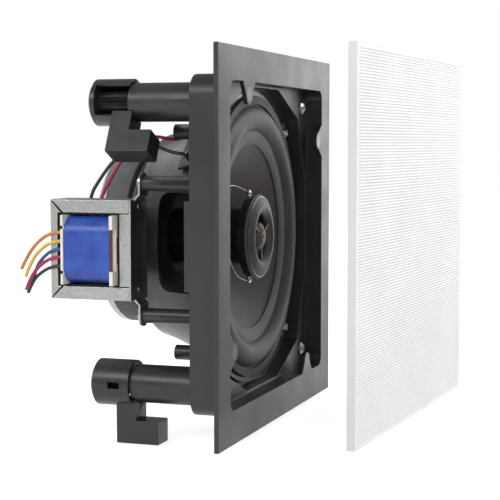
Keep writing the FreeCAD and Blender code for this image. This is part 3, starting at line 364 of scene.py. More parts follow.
class Workpiece:
    """A mesh in millimetres on its way to becoming a piece of the speaker."""

    def __init__(self) -> None:
        """Start with an empty mesh."""
        self.mesh = bmesh.new()

    @classmethod
    def copy_of(cls, node: str) -> Self:
        """Start from a CAD node, with its triangles merged into whole faces.

        Args:
            node: Name of the CAD node.

        Returns:
            The copy, in millimetres.
        """
        piece = cls()
        mesh = piece.mesh
        mesh.from_mesh(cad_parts[node].data)
        bmesh.ops.scale(mesh, vec=Vector((1, 1, 1)) / MM, verts=mesh.verts)
        bmesh.ops.remove_doubles(mesh, verts=mesh.verts, dist=WELD_MM)
        bmesh.ops.dissolve_limit(mesh, angle_limit=math.radians(FLAT_DEGREES), verts=mesh.verts,
                                 edges=mesh.edges)
        return piece

    @classmethod
    def turned(cls, profile: Outline, steps: int = TURN_STEPS, degrees: float = 360.0) -> Self:
        """Turn a closed profile about the speaker's axis.

        Args:
            profile: Radius and depth of each point.
            steps: Number of steps of the turn.
            degrees: Angle of the turn, from the +X side towards -Z.

        Returns:
            The turned piece.
        """
        piece = cls()
        mesh = piece.mesh
        points = [mesh.verts.new((radius, depth, 0)) for radius, depth in profile]
        edges = [mesh.edges.new(pair) for pair in zip(points, points[1:] + points[:1])]
        whole = degrees >= 360
        bmesh.ops.spin(mesh, geom=points + edges, cent=(0, 0, 0), axis=(0, 1, 0), dvec=(0, 0, 0),
                       angle=math.radians(degrees), steps=steps, use_merge=whole, use_duplicate=False)
        bmesh.ops.remove_doubles(mesh, verts=mesh.verts, dist=WELD_MM)
        if not whole:
            ends = [edge for edge in mesh.edges if edge.is_boundary]
            bmesh.ops.holes_fill(mesh, edges=ends, sides=0)
        bmesh.ops.recalc_face_normals(mesh, faces=mesh.faces)
        return piece

    def block(self, low: Point, high: Point, degrees: float = 0.0) -> Self:
        """Add a box between two corners.

        Args:
            low: Lowest corner.
            high: Highest corner.
            degrees: Turn of the box about the speaker's axis.

        Returns:
            This piece.
        """
        middle = (Vector(low) + Vector(high)) / 2
        size = Vector(high) - Vector(low)
        turn = Matrix.Rotation(math.radians(degrees), 4, "Y")
        place = turn @ Matrix.Translation(middle) @ Matrix.Diagonal((*size, 1))
        bmesh.ops.create_cube(self.mesh, size=1.0, matrix=place)
        return self

    def soften(self, width: float, segments: int = 2, way: Point | None = None) -> Self:
        """Round edges.

        Args:
            width: Width of the rounding.
            segments: Number of faces across it.
            way: Direction of the edges, or None for the sharp ones that are long enough to take it.

        Returns:
            This piece.
        """
        if way:
            chosen = [edge for edge in self.mesh.edges
                      if (edge.verts[0].co - edge.verts[1].co).cross(Vector(way)).length < WELD_MM]
        else:
            limit = math.radians(SHARP_DEGREES)
            chosen = [edge for edge in self.mesh.edges if edge.is_manifold
                      and edge.calc_face_angle(0) > limit and edge.calc_length() > EDGE_TO_ROUNDING * width]
        bmesh.ops.bevel(self.mesh, geom=chosen, offset=width, offset_type="OFFSET", segments=segments,
                        profile=0.5, affect="EDGES", clamp_overlap=False, material=-1)
        return self

    def move(self, offset: Point, degrees: float = 0.0, axis: str = "Y") -> Self:
        """Turn about an axis through the origin, then shift.

        Args:
            offset: Shift in millimetres.
            degrees: Angle of the turn.
            axis: Axis of the turn.

        Returns:
            This piece.
        """
        place = Matrix.Translation(offset) @ Matrix.Rotation(math.radians(degrees), 4, axis)
        bmesh.ops.transform(self.mesh, matrix=place, verts=self.mesh.verts)
        return self

    def cut(self, cutter: "Workpiece") -> Self:
        """Take another piece's shape away from this one.

        Args:
            cutter: The shape to remove.

        Returns:
            This piece.
        """
        body, tool = self.to_object("blank"), cutter.to_object("cutter")
        boolean = body.modifiers.new("cut", "BOOLEAN")
        boolean.object = tool
        boolean.use_self = True
        self.mesh = bmesh.new()
        self.mesh.from_mesh(baked(body))
        bpy.data.objects.remove(tool)
        return self

    def to_object(self, name: str) -> bpy.types.Object:
        """Turn the mesh into an object and free it.

        Args:
            name: Name of the object.

        Returns:
            The object, in the mesh's units.
        """
        data = bpy.data.meshes.new(name)
        self.mesh.to_mesh(data)
        self.mesh.free()
        return linked(name, data)

    def finish(self, name: str, surface: Surface, body: str | None, *nodes: str) -> bpy.types.Object:
        """Dress the mesh and hand it over as a piece in metres.

        Args:
            name: Name of the piece.
            surface: Its finish.
            body: CAD body that it rides on, or None for a piece on no body.
            nodes: CAD nodes that it stands for.

        Returns:
            The piece.
        """
        bmesh.ops.scale(self.mesh, vec=(MM, MM, MM), verts=self.mesh.verts)
        made = self.to_object(name)
        made.data.shade_smooth()
        made.data.set_sharp_from_angle(angle=math.radians(SMOOTH_DEGREES))
        if body:
            made.modifiers.new("flat_faces", "WEIGHTED_NORMAL").keep_sharp = True
        return hand_over(made, surface, body, *nodes)


def linked(name: str, data: bpy.types.ID) -> bpy.types.Object:
    """Put a new object into the scene.

    Args:
        name: Its name.
        data: The mesh, curve, lamp or camera that it holds.

    Returns:
        The object.
    """
    made = bpy.data.objects.new(name, data)
    bpy.context.scene.collection.objects.link(made)
    return made


def baked(made: bpy.types.Object) -> bpy.types.Mesh:
    """Take an object out of the scene and keep its mesh as its modifiers or bevel leave it.

    Args:
        made: The object, which is removed.

    Returns:
        The mesh.
    """
    bpy.context.view_layer.update()
    graph = bpy.context.evaluated_depsgraph_get()
    result = bpy.data.meshes.new_from_object(made.evaluated_get(graph))
    bpy.data.objects.remove(made)
    return result


def hand_over(made: bpy.types.Object, surface: Surface, body: str | None, *nodes: str) -> bpy.types.Object:
    """Give a finished piece its material and body.

    Args:
        made: The piece.
        surface: Its finish.
        body: CAD body that it rides on, or None for a piece on no body.
        nodes: CAD nodes that it stands for.

    Returns:
        The piece.
    """
    made.data.materials.clear()
    made.data.materials.append(material_of(surface.value))
    if body:
        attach(made, body)
    if nodes:
        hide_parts(*nodes)
    log.info("%s on %s", made.name, body or "speaker and cone")
    return made


def refine(body: str, *rows: Dressing) -> None:
    """Stand merged copies with softened edges in for CAD nodes.

    Args:
        body: CAD body that they ride on.
        rows: Each node with its finish and the rounding of its edges, zero for none.
    """
    for node, surface, edge in rows:
        copy = Workpiece.copy_of(node)
        if edge:
            copy.soften(edge)
        copy.finish(f"{node}_piece", surface, body, node)


def arc_through(start: Spot, middle: Spot, end: Spot, count: int) -> list[Spot]:
    """Points along the arc through three points of a profile.

    Args:
        start: First point.
        middle: A point on the way.
        end: Last point.
        count: Number of points.

    Returns:
        Radius and depth of each point.
    """
    first, between, last = (Vector(spot) for spot in (start, middle, end))
    near, far = between - first, last - first
    lean = Vector((far.y * near.length_squared - near.y * far.length_squared,
                   near.x * far.length_squared - far.x * near.length_squared))
    centre = first + lean / (2 * near.cross(far))
    spoke = first - centre
    sweep = spoke.angle_signed(between - centre) + (between - centre).angle_signed(last - centre)
    turns = [Matrix.Rotation(-sweep * step / (count - 1), 2) for step in range(count)]
    return [tuple(centre + turn @ spoke) for turn in turns]


def ring_profile(radii: Spot, depths: Spot) -> list[Spot]:
    """Square-cornered profile between two radii and two depths."""
    (inner, outer), (front, back) = radii, depths
    return [(inner, front), (outer, front), (outer, back), (inner, back)]


def past(depths: Spot) -> Spot:
    """Depths of a cutter that reaches past both ends of what it cuts."""
    return depths[0] - OVERCUT_MM, depths[1] + OVERCUT_MM


def cross_slots(places: Iterable[Spot], front: float, slot: Point) -> Workpiece:
    """Cutter for the cross recesses of screws that face the front.

    Args:
        places: X and Z of each screw.
        front: Depth of the screw heads' tops.
        slot: Half length, width and depth of a slot.

    Returns:
        The cutter.
    """
    reach, width, depth = slot
    half = width / 2
    cutter = Workpiece()
    for x, z in places:
        for across, up in ((reach, half), (half, reach)):
            cutter.block((x - across, front - depth, z - up), (x + across, front + depth, z + up))
    return cutter


@dataclass
class BaffleMoulding:
    """The one-piece frame and the grille's disc magnets."""

    edge: float = 0.45
    disc_edge: float = 0.3

    def build(self) -> None:
        """Model the frame and the magnets."""
        refine("speaker", ("baffle_frame", Surface.FRAME, self.edge),
               ("grille_magnets", Surface.LACQUER, self.disc_edge))


@dataclass
class GrillePan:
    """Perforated pan, lifted off in front of the flange."""

    place: Point = (34.4, -76.6, 0.0)  # middle of the front face
    turn: float = -4.3  # degrees about the upright axis
    half: float = 109.1  # of a side
    depth: float = 5.2  # of the folded edge
    sheet: float = 0.45
    margin: float = 2.4  # plain border around the holes
    fold: float = 0.9  # rounding of the folded edge
    cells: int = 128  # holes along a side
    web: float = 0.64  # metal between a hole and the edge of its cell

    def build(self) -> None:
        """Model the folded rim, and the perforated sheet in four quarters."""
        reach = self.half - self.margin
        rim = self.flat(1, reach, (0, 0, 0))
        bmesh.ops.delete(rim.mesh, geom=rim.mesh.faces[:], context="FACES_ONLY")
        self.fold_edges(rim.mesh)
        bmesh.ops.recalc_face_normals(rim.mesh, faces=rim.mesh.faces)
        self.thicken(rim, "grille_rim")
        quarter = reach / 2
        for number, (x, z) in enumerate(product((-quarter, quarter), repeat=2), 1):
            sheet = self.flat(self.cells // 2, quarter, (x, 0, z))
            holes = sheet.mesh.faces[:]
            bmesh.ops.inset_individual(sheet.mesh, faces=holes, thickness=self.web)
            bmesh.ops.delete(sheet.mesh, geom=holes, context="FACES")
            self.thicken(sheet, f"grille_sheet_{number}")

    def flat(self, cells: int, half: float, middle: Point) -> Workpiece:
        """Upright square of cells that faces the front.

        Args:
            cells: Number of cells along a side.
            half: Half its side.
            middle: Its middle.

        Returns:
            The square.
        """
        square = Workpiece()
        place = Matrix.Translation(middle) @ Matrix.Rotation(math.radians(90), 4, "X")
        bmesh.ops.create_grid(square.mesh, x_segments=cells, y_segments=cells, size=half, matrix=place)
        return square

    def thicken(self, sheet: Workpiece, name: str) -> None:
        """Give a bent sheet its thickness, and hang it in its place.

        Args:
            sheet: The sheet's front.
            name: Name of the piece.
        """
        bmesh.ops.solidify(sheet.mesh, geom=sheet.mesh.faces[:], thickness=self.sheet)
        sheet.move(self.place, self.turn, "Z").finish(name, Surface.GRILLE, "speaker", "grille_pan")

    def fold_edges(self, mesh: bmesh.types.BMesh) -> None:
        """Extrude a square of edges outwards and fold it back.

        Args:
            mesh: The square.
        """
        corner = (1 - math.sqrt(0.5)) * self.fold
        steps = ((self.half - self.fold, 0.0), (self.half - corner, corner),
                 (self.half, self.fold), (self.half, self.depth))
        rims = mesh.edges[:]
        reach, depth = self.half - self.margin, 0.0
        for half, back in steps:
            made = bmesh.ops.extrude_edge_only(mesh, edges=rims)["geom"]
            verts = [item for item in made if isinstance(item, bmesh.types.BMVert)]
            rims = [item for item in made if isinstance(item, bmesh.types.BMEdge)]
            share = half / reach
            bmesh.ops.scale(mesh, vec=(share, 1, share), verts=verts)
            bmesh.ops.translate(mesh, vec=(0, back - depth, 0), verts=verts)
            reach, depth = half, back


@dataclass
class Clamp:
    """One swing-out clamp with the screw that it rides on."""

    number: int  # corner, clockwise from the top left seen from the front
    turn: float  # degrees of the arm about the screw, from straight down
    hood: Spot = (11.0, 13.6)  # radii that the trimmed front of the hood lies between
    trim: Spot = (53.0, 56.8)  # front and back of what is trimmed
    arm_clear: float = 42.0  # degrees either side of the arm, not trimmed
    edge: float = 0.3
    screw_edge: float = 0.2
    slot: Point = (2.5, 1.1, 1.5)  # half length, width and depth of the cross recess

    def build(self) -> None:
        """Model the clamp and its screw."""
        arm = f"clamp_{self.number}"
        node = f"clamp_screw_{self.number}"
        low, high = (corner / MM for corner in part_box(node))
        middle = (low + high) / 2
        ring = Workpiece.turned(ring_profile(self.hood, self.trim), degrees=360 - 2 * self.arm_clear)
        ring.move((middle.x, 0, middle.z), 90 + self.arm_clear + self.turn)
        body = Workpiece.copy_of(arm).cut(ring).soften(self.edge)
        body.finish(f"{arm}_piece", Surface.CLAMP, arm, arm)
        screw = Workpiece.copy_of(node).soften(self.screw_edge)
        screw.cut(cross_slots([(middle.x, middle.z)], low.y, self.slot))
        screw.finish(f"{node}_piece", Surface.SCREW, node, node)


@dataclass
class Woofer:
    """Basket, motor, cone, surround and coil."""

    lap: Spot = (58.4, 83.7)  # inner and outer edge of the surround's flat parts
    tail: Spot = (55.0, 1.75)  # radius of its edge on the cone, and how far that lies behind the flat parts
    roll: Spot = (63.0, 78.0)  # inner and outer edge of its half roll
    roll_height: float = 4.6
    rubber: Spot = (14.0, 14.8)  # front and back of its flat parts
    cone_rim: Spot = (58.4, 14.8)  # radius and depth
    cone_neck: Spot = (16.2, 44.0)  # radius and depth
    cone_sheet: float = 1.0
    flare: float = 2.0  # how far the cone's middle stands forward of a straight one
    spider_waves: tuple[float, ...] = (16.3, 25.725, 35.15, 44.575, 54.0)  # their edges
    spider_rim: float = 59.5  # outer edge
    spider_cloth: Spot = (63.2, 64.0)  # front and back of the flat rim
    wave_height: float = 2.2
    head_offset: float = 62.0  # of the driver screws, along X and Z alike
    head_slot: Point = (1.9, 0.8, 1.1)  # half length, width and depth of their cross recesses
    # Plain pieces with finish and rounding: those that stay put, and those on the cone
    still: tuple[Dressing, ...] = (
        ("mounting_gasket", Surface.FOAM, 0.2), ("basket", Surface.BASKET, 0.35),
        ("front_gasket", Surface.GASKET, 0.35), ("top_plate", Surface.PLATE, 0.4),
        ("magnet", Surface.FERRITE, 0.8), ("pole_yoke", Surface.PLATE, 0.3),
        ("terminal_strip", Surface.BOARD, 0.2), ("terminal_lugs", Surface.BRASS, 0.1),
    )
    moving: tuple[Dressing, ...] = (
        ("cone_eyelets", Surface.BRASS, 0.3), ("voice_coil_former", Surface.FORMER, 0.0),
        ("voice_coil_winding", Surface.COPPER, 0.15),
    )

    def build(self) -> None:
        """Model and dress each piece of the woofer."""
        refine("speaker", *self.still)
        refine("cone", *self.moving)
        self.screws()
        Workpiece.turned(self.cone_profile()).finish("cone_shell", Surface.CONE, "cone", "cone")
        self.sectors("surround", Surface.RUBBER, self.surround_profile())
        self.sectors("spider", Surface.SPIDER, self.spider_profile())

    def screws(self) -> None:
        """Give the driver's screws their cross recesses."""
        places = product((-self.head_offset, self.head_offset), repeat=2)
        slots = cross_slots(places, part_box("driver_screws")[0].y / MM, self.head_slot)
        screws = Workpiece.copy_of("driver_screws").cut(slots)
        screws.finish("driver_screws_piece", Surface.SCREW, "speaker", "driver_screws")

    def cone_profile(self) -> list[Spot]:
        """Flared cone with a flat lip under the surround.

        Returns:
            Radius and depth of each point.
        """
        (rim, front), (neck, deep) = self.cone_rim, self.cone_neck
        bend = ((rim + neck) / 2, (front + deep) / 2 - self.flare)
        face = arc_through(self.cone_rim, bend, self.cone_neck, count=24)
        back = [(radius, depth + self.cone_sheet) for radius, depth in reversed(face)]
        lip = self.roll[0]
        return [(lip, front), *face, *back, (lip, front + self.cone_sheet)]

    def surround_profile(self) -> list[Spot]:
        """Half roll with a flat lap on either side, the inner one sloping down to the cone.

        Returns:
            Radius and depth of each point.
        """
        front, rear = self.rubber
        sheet = rear - front
        (inner, outer), (near, far), (edge, drop) = self.roll, self.lap, self.tail
        top = ((inner + outer) / 2, front - self.roll_height)
        under = (top[0], top[1] + sheet)
        over = arc_through((outer, front), top, (inner, front), count=20)
        below = arc_through((inner + sheet, rear), under, (outer - sheet, rear), count=20)
        tail = [(near, front), (edge, front + drop), (edge, rear + drop), (near, rear)]
        return [(far, rear), (far, front), *over, *tail, *below]

    def spider_profile(self) -> list[Spot]:
        """Corrugated cloth with a flat rim.

        Returns:
            Radius and depth of each point.
        """
        sides: list[list[Spot]] = []
        for level in self.spider_cloth:
            line = [(self.spider_waves[0], level)]
            for number, (start, end) in enumerate(zip(self.spider_waves, self.spider_waves[1:])):
                crest = level + (self.wave_height if number % 2 else -self.wave_height)
                line += arc_through((start, level), ((start + end) / 2, crest), (end, level), count=9)[1:]
            sides.append([*line, (self.spider_rim, level)])
        front, back = sides
        return front + back[::-1]

    def sectors(self, node: str, surface: Surface, profile: Outline) -> None:
        """Build a soft ring in sectors, each baked in place on no body.

        Args:
            node: CAD node that the ring stands for.
            surface: Its finish.
            profile: Radius and depth of its closed profile.
        """
        step = 360 / SECTORS
        for number in range(SECTORS):
            sector = Workpiece.turned(profile, SECTOR_STEPS, step).move((0, 0, 0), step * number)
            made = sector.finish(f"{node}_sector_{number + 1}", surface, None, node)
            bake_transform(made)


@dataclass
class Tweeter:
    """The tweeter on its stem in the middle of the cone."""

    mouth: Spot = (13.5, 10.4)  # radius and depth of the face ring's inner edge
    crest: Spot = (17.2, 18.0)  # its inner and outer radius
    rim: Spot = (25.5, 10.6)  # radius and depth of the outer edge
    front: float = 7.0  # depth of the crest
    rear: float = 11.6  # depth of the ring's back
    slope_bend: Spot = (21.75, 8.2)  # a point on the slope outside the crest
    mouth_bend: Spot = (14.85, 8.2)  # a point on the slope inside it
    # Profile of the plug, as radius and depth
    plug: tuple[Spot, ...] = ((1.0, 9.9), (1.0, 7.65), (4.3, 7.65), (8.3, 9.7), (8.3, 9.9))
    plug_edge: float = 0.25 / 3
    spoke: Spot = (4.3, 17.0)  # inner and outer radius
    spoke_depth: Spot = (8.6, 9.9)  # front and back
    spoke_width: float = 1.6
    spoke_turns: tuple[float, ...] = (-30.0, 90.0, 210.0)  # degrees about the axis
    edge: float = 0.25  # rounding of ring and spokes
    # Plain pieces behind the face, with finish and rounding
    plain: tuple[Dressing, ...] = (
        ("tweeter_housing", Surface.HOUSING, 0.4), ("tweeter_stem", Surface.HOUSING, 0.3),
        ("tweeter_dome", Surface.DOME, 0.0), ("tweeter_terminals", Surface.SOLDER, 0.15),
        ("tweeter_yoke", Surface.PLATE, 0.2), ("tweeter_magnet", Surface.NICKEL, 0.2),
        ("tweeter_pole_plate", Surface.PLATE, 0.2), ("crossover_capacitor", Surface.SLEEVE, 0.4),
    )

    def build(self) -> None:
        """Model the ring, the plug and the spokes that hold it, and dress the pieces behind them."""
        inner, outer = ((radius, self.front) for radius in self.crest)
        ring = Workpiece.turned([
            (self.mouth[0], self.rear), *arc_through(self.mouth, self.mouth_bend, inner, count=14),
            *arc_through(outer, self.slope_bend, self.rim, count=18), (self.rim[0], self.rear),
        ])
        plug = Workpiece.turned(self.plug)
        spokes = Workpiece()
        half = self.spoke_width / 2
        (start, end), (front, back) = self.spoke, self.spoke_depth
        for turn in self.spoke_turns:
            spokes.block((start, front, -half), (end, back, half), turn)
        face = (("ring", ring, self.edge), ("plug", plug, self.plug_edge), ("spokes", spokes, self.edge))
        for name, piece, edge in face:
            piece.soften(edge).finish(f"tweeter_{name}", Surface.TWEETER, "speaker", "tweeter_faceplate")
        refine("speaker", *self.plain)


@dataclass
class LineTransformer:
    """The transformer on its two posts."""

    middle: Spot = (-80.0, -3.0)  # X and Z of the axis
    case: Spot = (11.7, 27.7)  # half width and half height over the folded frame
    sheet: float = 1.2  # thickness of the frame
    core: Spot = (55.2, 101.2)  # front and rear
    lips: Spot = (7.4, 4.4)  # width of the frame's lips above and below, and behind
    mitre: float = 0.6  # width of the slits where the lips meet
    fold: float = 0.55  # rounding of the frame's folds
    mount_lip: Spot = (6.2, 19.9)  # width and half height of the lips that fold back from the mount
    lip_bed: float = 0.5  # how far they start inside its front plate
    lip_edge: float = 0.35
    tube: Spot = (12.0, 8.5)  # half width and half height of the bobbin's tube
    tube_bed: float = 0.4  # how far it is let into the flanges
    leg: Spot = (10.8, 7.3)  # half width and half height of its bore
    flange: Spot = (17.0, 19.2)  # half width and half height
    flange_edge: float = 0.3
    front_flange: Spot = (62.5, 64.7)  # front and back of the one towards the mount
    rear_flange: Spot = (92.3, 93.9)  # front and back of the other
    ear: Spot = (7.8, 4.7)  # height of the front flange's ears, and how far its middle is set back
    notch: Spot = (1.6, 3.0)  # width and depth, in the rear flange
    notch_level: float = 12.4  # above and below the axis
    tape: Spot = (16.3, 18.7)  # half width and half height of the taped winding
    tape_round: float = 10.0  # rounding of its corners
    tap: Spot = (-93.5, 1.3)  # X of the taps, and radius of their holes
    tap_levels: tuple[float, ...] = (6.6, 1.6, -2.8, -7.2, -12.2)  # Z of the taps
    # Half height and thickness of the varnished turns that show at the winding's end
    turns: Spot = (10.8, 0.2)
    turns_reach: Spot = (12.4, 15.9)  # nearest and furthest distance from the axis
    turns_bed: float = 0.1  # how far they lie in the winding
    turns_edge: float = 0.06
    rivets: tuple[Spot, ...] = ((-80.0, 21.0), (-80.0, -24.7))  # X and Z, in the mount's front plate
    plate_front: float = 54.0  # depth of that plate's front face
    rivet: Spot = (2.0, 1.0)  # radius and height of a head
    rivet_bulge: float = 0.72  # share of both at a point on the dome
    rivet_rim: Spot = (0.2, 0.05)  # height of the dome's rim above the plate, and depth below it
    # Plain pieces, with finish and rounding
    plain: tuple[Dressing, ...] = (
        ("transformer_core", Surface.LAMINATION, 0.1), ("transformer_mount", Surface.ZINC, 0.25),
        ("transformer_screws", Surface.SCREW, 0.15),
    )

    def build(self) -> None:
        """Model each piece of the transformer."""
        refine("speaker", *self.plain)
        self.frame_channel()
        self.mount_lips()
        self.bobbin()
        self.winding()
        self.rivet_heads()

    def centred(self, half: Spot, depth: Spot) -> Workpiece:
        """Box about the transformer's axis, of half a width and height, between two depths."""
        (x, z), (wide, tall) = self.middle, half
        return Workpiece().block((x - wide, depth[0], z - tall), (x + wide, depth[1], z + tall))

    def pair(self, reach: Spot, depth: Spot, level: Spot) -> Workpiece:
        """Boxes on both sides of the transformer's axis.

        Args:
            reach: Nearest and furthest distance from the axis along X.
            depth: Front and back.
            level: Lowest and highest Z, from the axis.

        Returns:
            Both boxes in one piece.
        """
        x, z = self.middle
        boxes = Workpiece()
        for way in (1, -1):
            near, far = sorted(x + way * distance for distance in reach)
            boxes.block((near, depth[0], z + level[0]), (far, depth[1], z + level[1]))
        return boxes

    def frame_channel(self) -> None:
        """Fold the zinc-plated channel with its lips, and slit it where the lips meet."""
        (x, z), (wide, tall), (side, back) = self.middle, self.case, self.lips
        front, rear = self.core
        outside = rear + self.sheet
        mouth = front - OVERCUT_MM
        channel = self.centred(self.case, (front, outside))
        channel.cut(self.centred((wide - self.sheet, tall - self.sheet), (mouth, rear)))
        channel.cut(self.centred((wide + OVERCUT_MM, tall - side), (mouth, outside - back)))
        half = self.mitre / 2
        for way in (1, -1):
            slit = Workpiece().block((x - 2 * wide, -2 * side, -half), (x + 2 * wide, -self.sheet, half))
            channel.cut(slit.move((0, outside, z + way * tall), way * MITRE_DEGREES, "X"))
        channel.soften(self.fold, 3).finish("frame_channel", Surface.ZINC, "speaker", "transformer_frame")

    def mount_lips(self) -> None:
        """Fold a lip back from either side of the mount's front plate."""
        width, tall = self.mount_lip
        front = self.core[0] - self.lip_bed
        lips = self.pair((self.case[0] - self.sheet, self.case[0]), (front, front + width), (-tall, tall))
        lips.soften(self.lip_edge).finish("mount_lips", Surface.ZINC, "speaker", "transformer_mount")

    def bobbin(self) -> None:
        """Mould the bobbin, its front flange eared and its rear one notched and bored for the taps."""
        (wide, tall), (high, back), (gap, deep) = self.flange, self.ear, self.notch
        outside = wide + OVERCUT_MM
        ends = (self.front_flange[0], self.rear_flange[1])
        spool = self.centred(self.tube, (self.front_flange[1] - self.tube_bed,
                                         self.rear_flange[0] + self.tube_bed))
        spool.cut(self.centred(self.leg, ends))
        spool.finish("bobbin_tube", Surface.BOBBIN, "speaker", "transformer_bobbin")
        front = self.centred(self.flange, self.front_flange)
        front.cut(self.pair((wide - back, outside), past(self.front_flange), (high - tall, tall - high)))
        rear = self.centred(self.flange, self.rear_flange)
        through = past(self.rear_flange)
        for level in (self.notch_level, -self.notch_level):
            rear.cut(self.pair((wide - deep, outside), through, (level - gap / 2, level + gap / 2)))
        x, radius = self.tap
        for level in self.tap_levels:
            drill = Workpiece.turned(ring_profile((0, radius), through), RIVET_STEPS)
            rear.cut(drill.move((x, 0, level)))
        for name, flange in (("bobbin_front", front), ("bobbin_rear", rear)):
            flange.cut(self.centred(self.leg, past(ends))).soften(self.flange_edge, 3)
            flange.finish(name, Surface.BOBBIN, "speaker", "transformer_bobbin")

    def winding(self) -> None:
        """Wind the coil under its tape, with the varnished turns that show at its front end."""
        depth = (self.front_flange[1], self.rear_flange[0])
        coil = self.centred(self.tape, depth).soften(self.tape_round, 10, way=(0, 1, 0))
        coil.cut(self.centred(self.tube, past(depth)))
        coil.finish("taped_winding", Surface.TAPE, "speaker", "transformer_winding")
        tall, thick = self.turns
        ends = self.pair(self.turns_reach, (depth[0] - thick, depth[0] + self.turns_bed), (-tall, tall))
        ends.soften(self.turns_edge)
        ends.finish("winding_turns", Surface.VARNISH, "speaker", "transformer_winding")

    def rivet_heads(self) -> None:
        """Set the rivets in the mount's front plate."""
        (radius, height), (rim, bed) = self.rivet, self.rivet_rim
        bulge = (radius * self.rivet_bulge, -height * self.rivet_bulge)
        dome = arc_through((0, -height), bulge, (radius, -rim), count=10)
        for number, (x, z) in enumerate(self.rivets, 1):
            rivet = Workpiece.turned([*dome, (radius, bed), (0, bed)], RIVET_STEPS)
            rivet.move((x, self.plate_front, z)).finish(f"rivet_{number}", Surface.SCREW, "speaker")


@dataclass(frozen=True)
class Lead:
    """A lead along a route of points."""

    name: str
    node: str  # that it stands for in the CAD
    surface: Surface
    radius: float
    route: tuple[Point, ...]  # in millimetres

    def curve(self) -> bpy.types.Object:
        """Make the lead's smooth round curve.

        Returns:
            The curve object.
        """
        data = bpy.data.curves.new(self.name, "CURVE")
        data.dimensions = "3D"
        data.bevel_depth = self.radius * MM
        data.bevel_resolution = 4
        data.resolution_u = 12
        data.use_fill_caps = True
        spline = data.splines.new("NURBS")
        spline.points.add(len(self.route) - 1)
        for point, place in zip(spline.points, self.route):
            point.co = (*(Vector(place) * MM), 1.0)
        spline.order_u = 3
        spline.use_endpoint_u = True
        return linked(self.name, data)


@dataclass(frozen=True)
class SleevedLead(Lead):
    """A free lead of the transformer."""

    length: float  # in millimetres
    far_end: str

    def build(self) -> None:
        made = hand_over(self.curve(), self.surface, "speaker", self.node)


@dataclass(frozen=True)
class FlexLead(Lead):
    """A thin lead to the cone."""

    still_first: bool  # whether the route starts on the speaker

    def build(self) -> None:
        """Make the lead as a tube, baked in place on no body."""
        tube = baked(self.curve())
        tube.shade_smooth()
        made = hand_over(linked(f"{self.name}_tube", tube), self.surface, None, self.node)
        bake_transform(made)


def sleeved(kind: str, colour: str, far_end: str, length: float, *route: Point) -> SleevedLead:
    """One of the transformer's leads, with its names and finish from its kind and colour."""
    return SleevedLead(f"{kind}_{colour}", f"{kind}_lead_{colour}", Surface[f"LEAD_{colour.upper()}"],
                       SLEEVE_RADIUS, route, length, far_end)


LEADS = (
    sleeved("tap", "orange", "bare", 36.6, (-93.5, 92.3, 6.6), (-93.5, 100.4, 6.6), (-93.9, 108.5, 1.6),
            (-94.3, 114.8, -5.8), (-94.8, 119.0, -14.4)),
    sleeved("tap", "yellow", "bare", 34.3, (-93.5, 92.3, 1.6), (-93.5, 100.0, 1.6), (-94.0, 107.6, -3.2),
            (-94.5, 113.2, -10.4), (-95.0, 116.4, -18.6)),
    sleeved("tap", "blue", "bare", 34.4, (-93.5, 92.3, -2.8), (-93.5, 99.8, -2.8), (-92.6, 107.4, -8.4),
            (-91.0, 112.6, -15.4), (-88.5, 115.5, -23.4)),
    sleeved("tap", "red", "bare", 33.0, (-93.5, 92.3, -7.2), (-93.5, 99.9, -7.2), (-94.1, 107.4, -11.6),
            (-94.8, 113.2, -18.4), (-95.4, 115.8, -26.0)),
    sleeved("tap", "black", "bare", 31.8, (-93.5, 92.3, -12.2), (-93.5, 99.8, -12.2),
            (-93.0, 107.2, -15.8), (-92.0, 113.4, -21.0), (-90.4, 117.2, -28.0)),
    sleeved("secondary", "red", "object", 85.4, (-67.0, 86.0, 13.0), (-66.6, 83.4, 24.6),
            (-66.2, 76.4, 36.6), (-66.0, 69.4, 48.0), (-66.0, 59.5, 57.5), (-65.5, 49.5, 59.6),
            (-60.5, 42.6, 57.6), (-54.5, 38.5, 58.4), (-49.6, 34.0, 60.9)),
    sleeved("secondary", "black", "object", 83.3, (-67.0, 90.4, 13.0), (-66.2, 90.6, 25.0),
            (-64.4, 83.8, 36.5), (-63.0, 75.7, 47.2), (-62.4, 63.6, 53.8), (-62.8, 51.6, 54.6),
            (-64.0, 44.6, 51.9), (-63.8, 38.4, 50.0), (-60.9, 34.0, 49.6)),
    FlexLead("tinsel_upper", "tinsel_leads", Surface.TINSEL, TINSEL_RADIUS,
             ((-19.7, 31.2, 30.2), (-22.0, 37.0, 32.5), (-27.5, 41.0, 38.0), (-35.0, 40.6, 45.5),
              (-40.8, 36.0, 51.6), (-43.4, 30.6, 54.6)), still_first=False),
    FlexLead("tinsel_lower", "tinsel_leads", Surface.TINSEL, TINSEL_RADIUS,
             ((-30.2, 31.2, 19.7), (-32.5, 37.0, 22.0), (-38.0, 41.0, 27.5), (-45.5, 40.6, 35.0),
              (-51.6, 36.0, 40.8), (-54.6, 30.6, 43.4)), still_first=False),
    FlexLead("tweeter_upper", "tweeter_leads", Surface.TINNED, TINNED_RADIUS,
             ((-0.6, 17.4, 26.6), (-7.6, 19.4, 29.0), (-14.0, 22.4, 31.0),
              (-19.4, 26.6, 30.4)), still_first=True),
    FlexLead("tweeter_lower", "tweeter_leads", Surface.TINNED, TINNED_RADIUS,
             ((-0.6, 17.4, -26.6), (-11.0, 19.4, -25.0), (-20.0, 21.6, -15.0), (-26.0, 22.6, -1.0),
              (-29.2, 23.6, 11.0), (-30.0, 26.6, 19.4)), still_first=True),
)


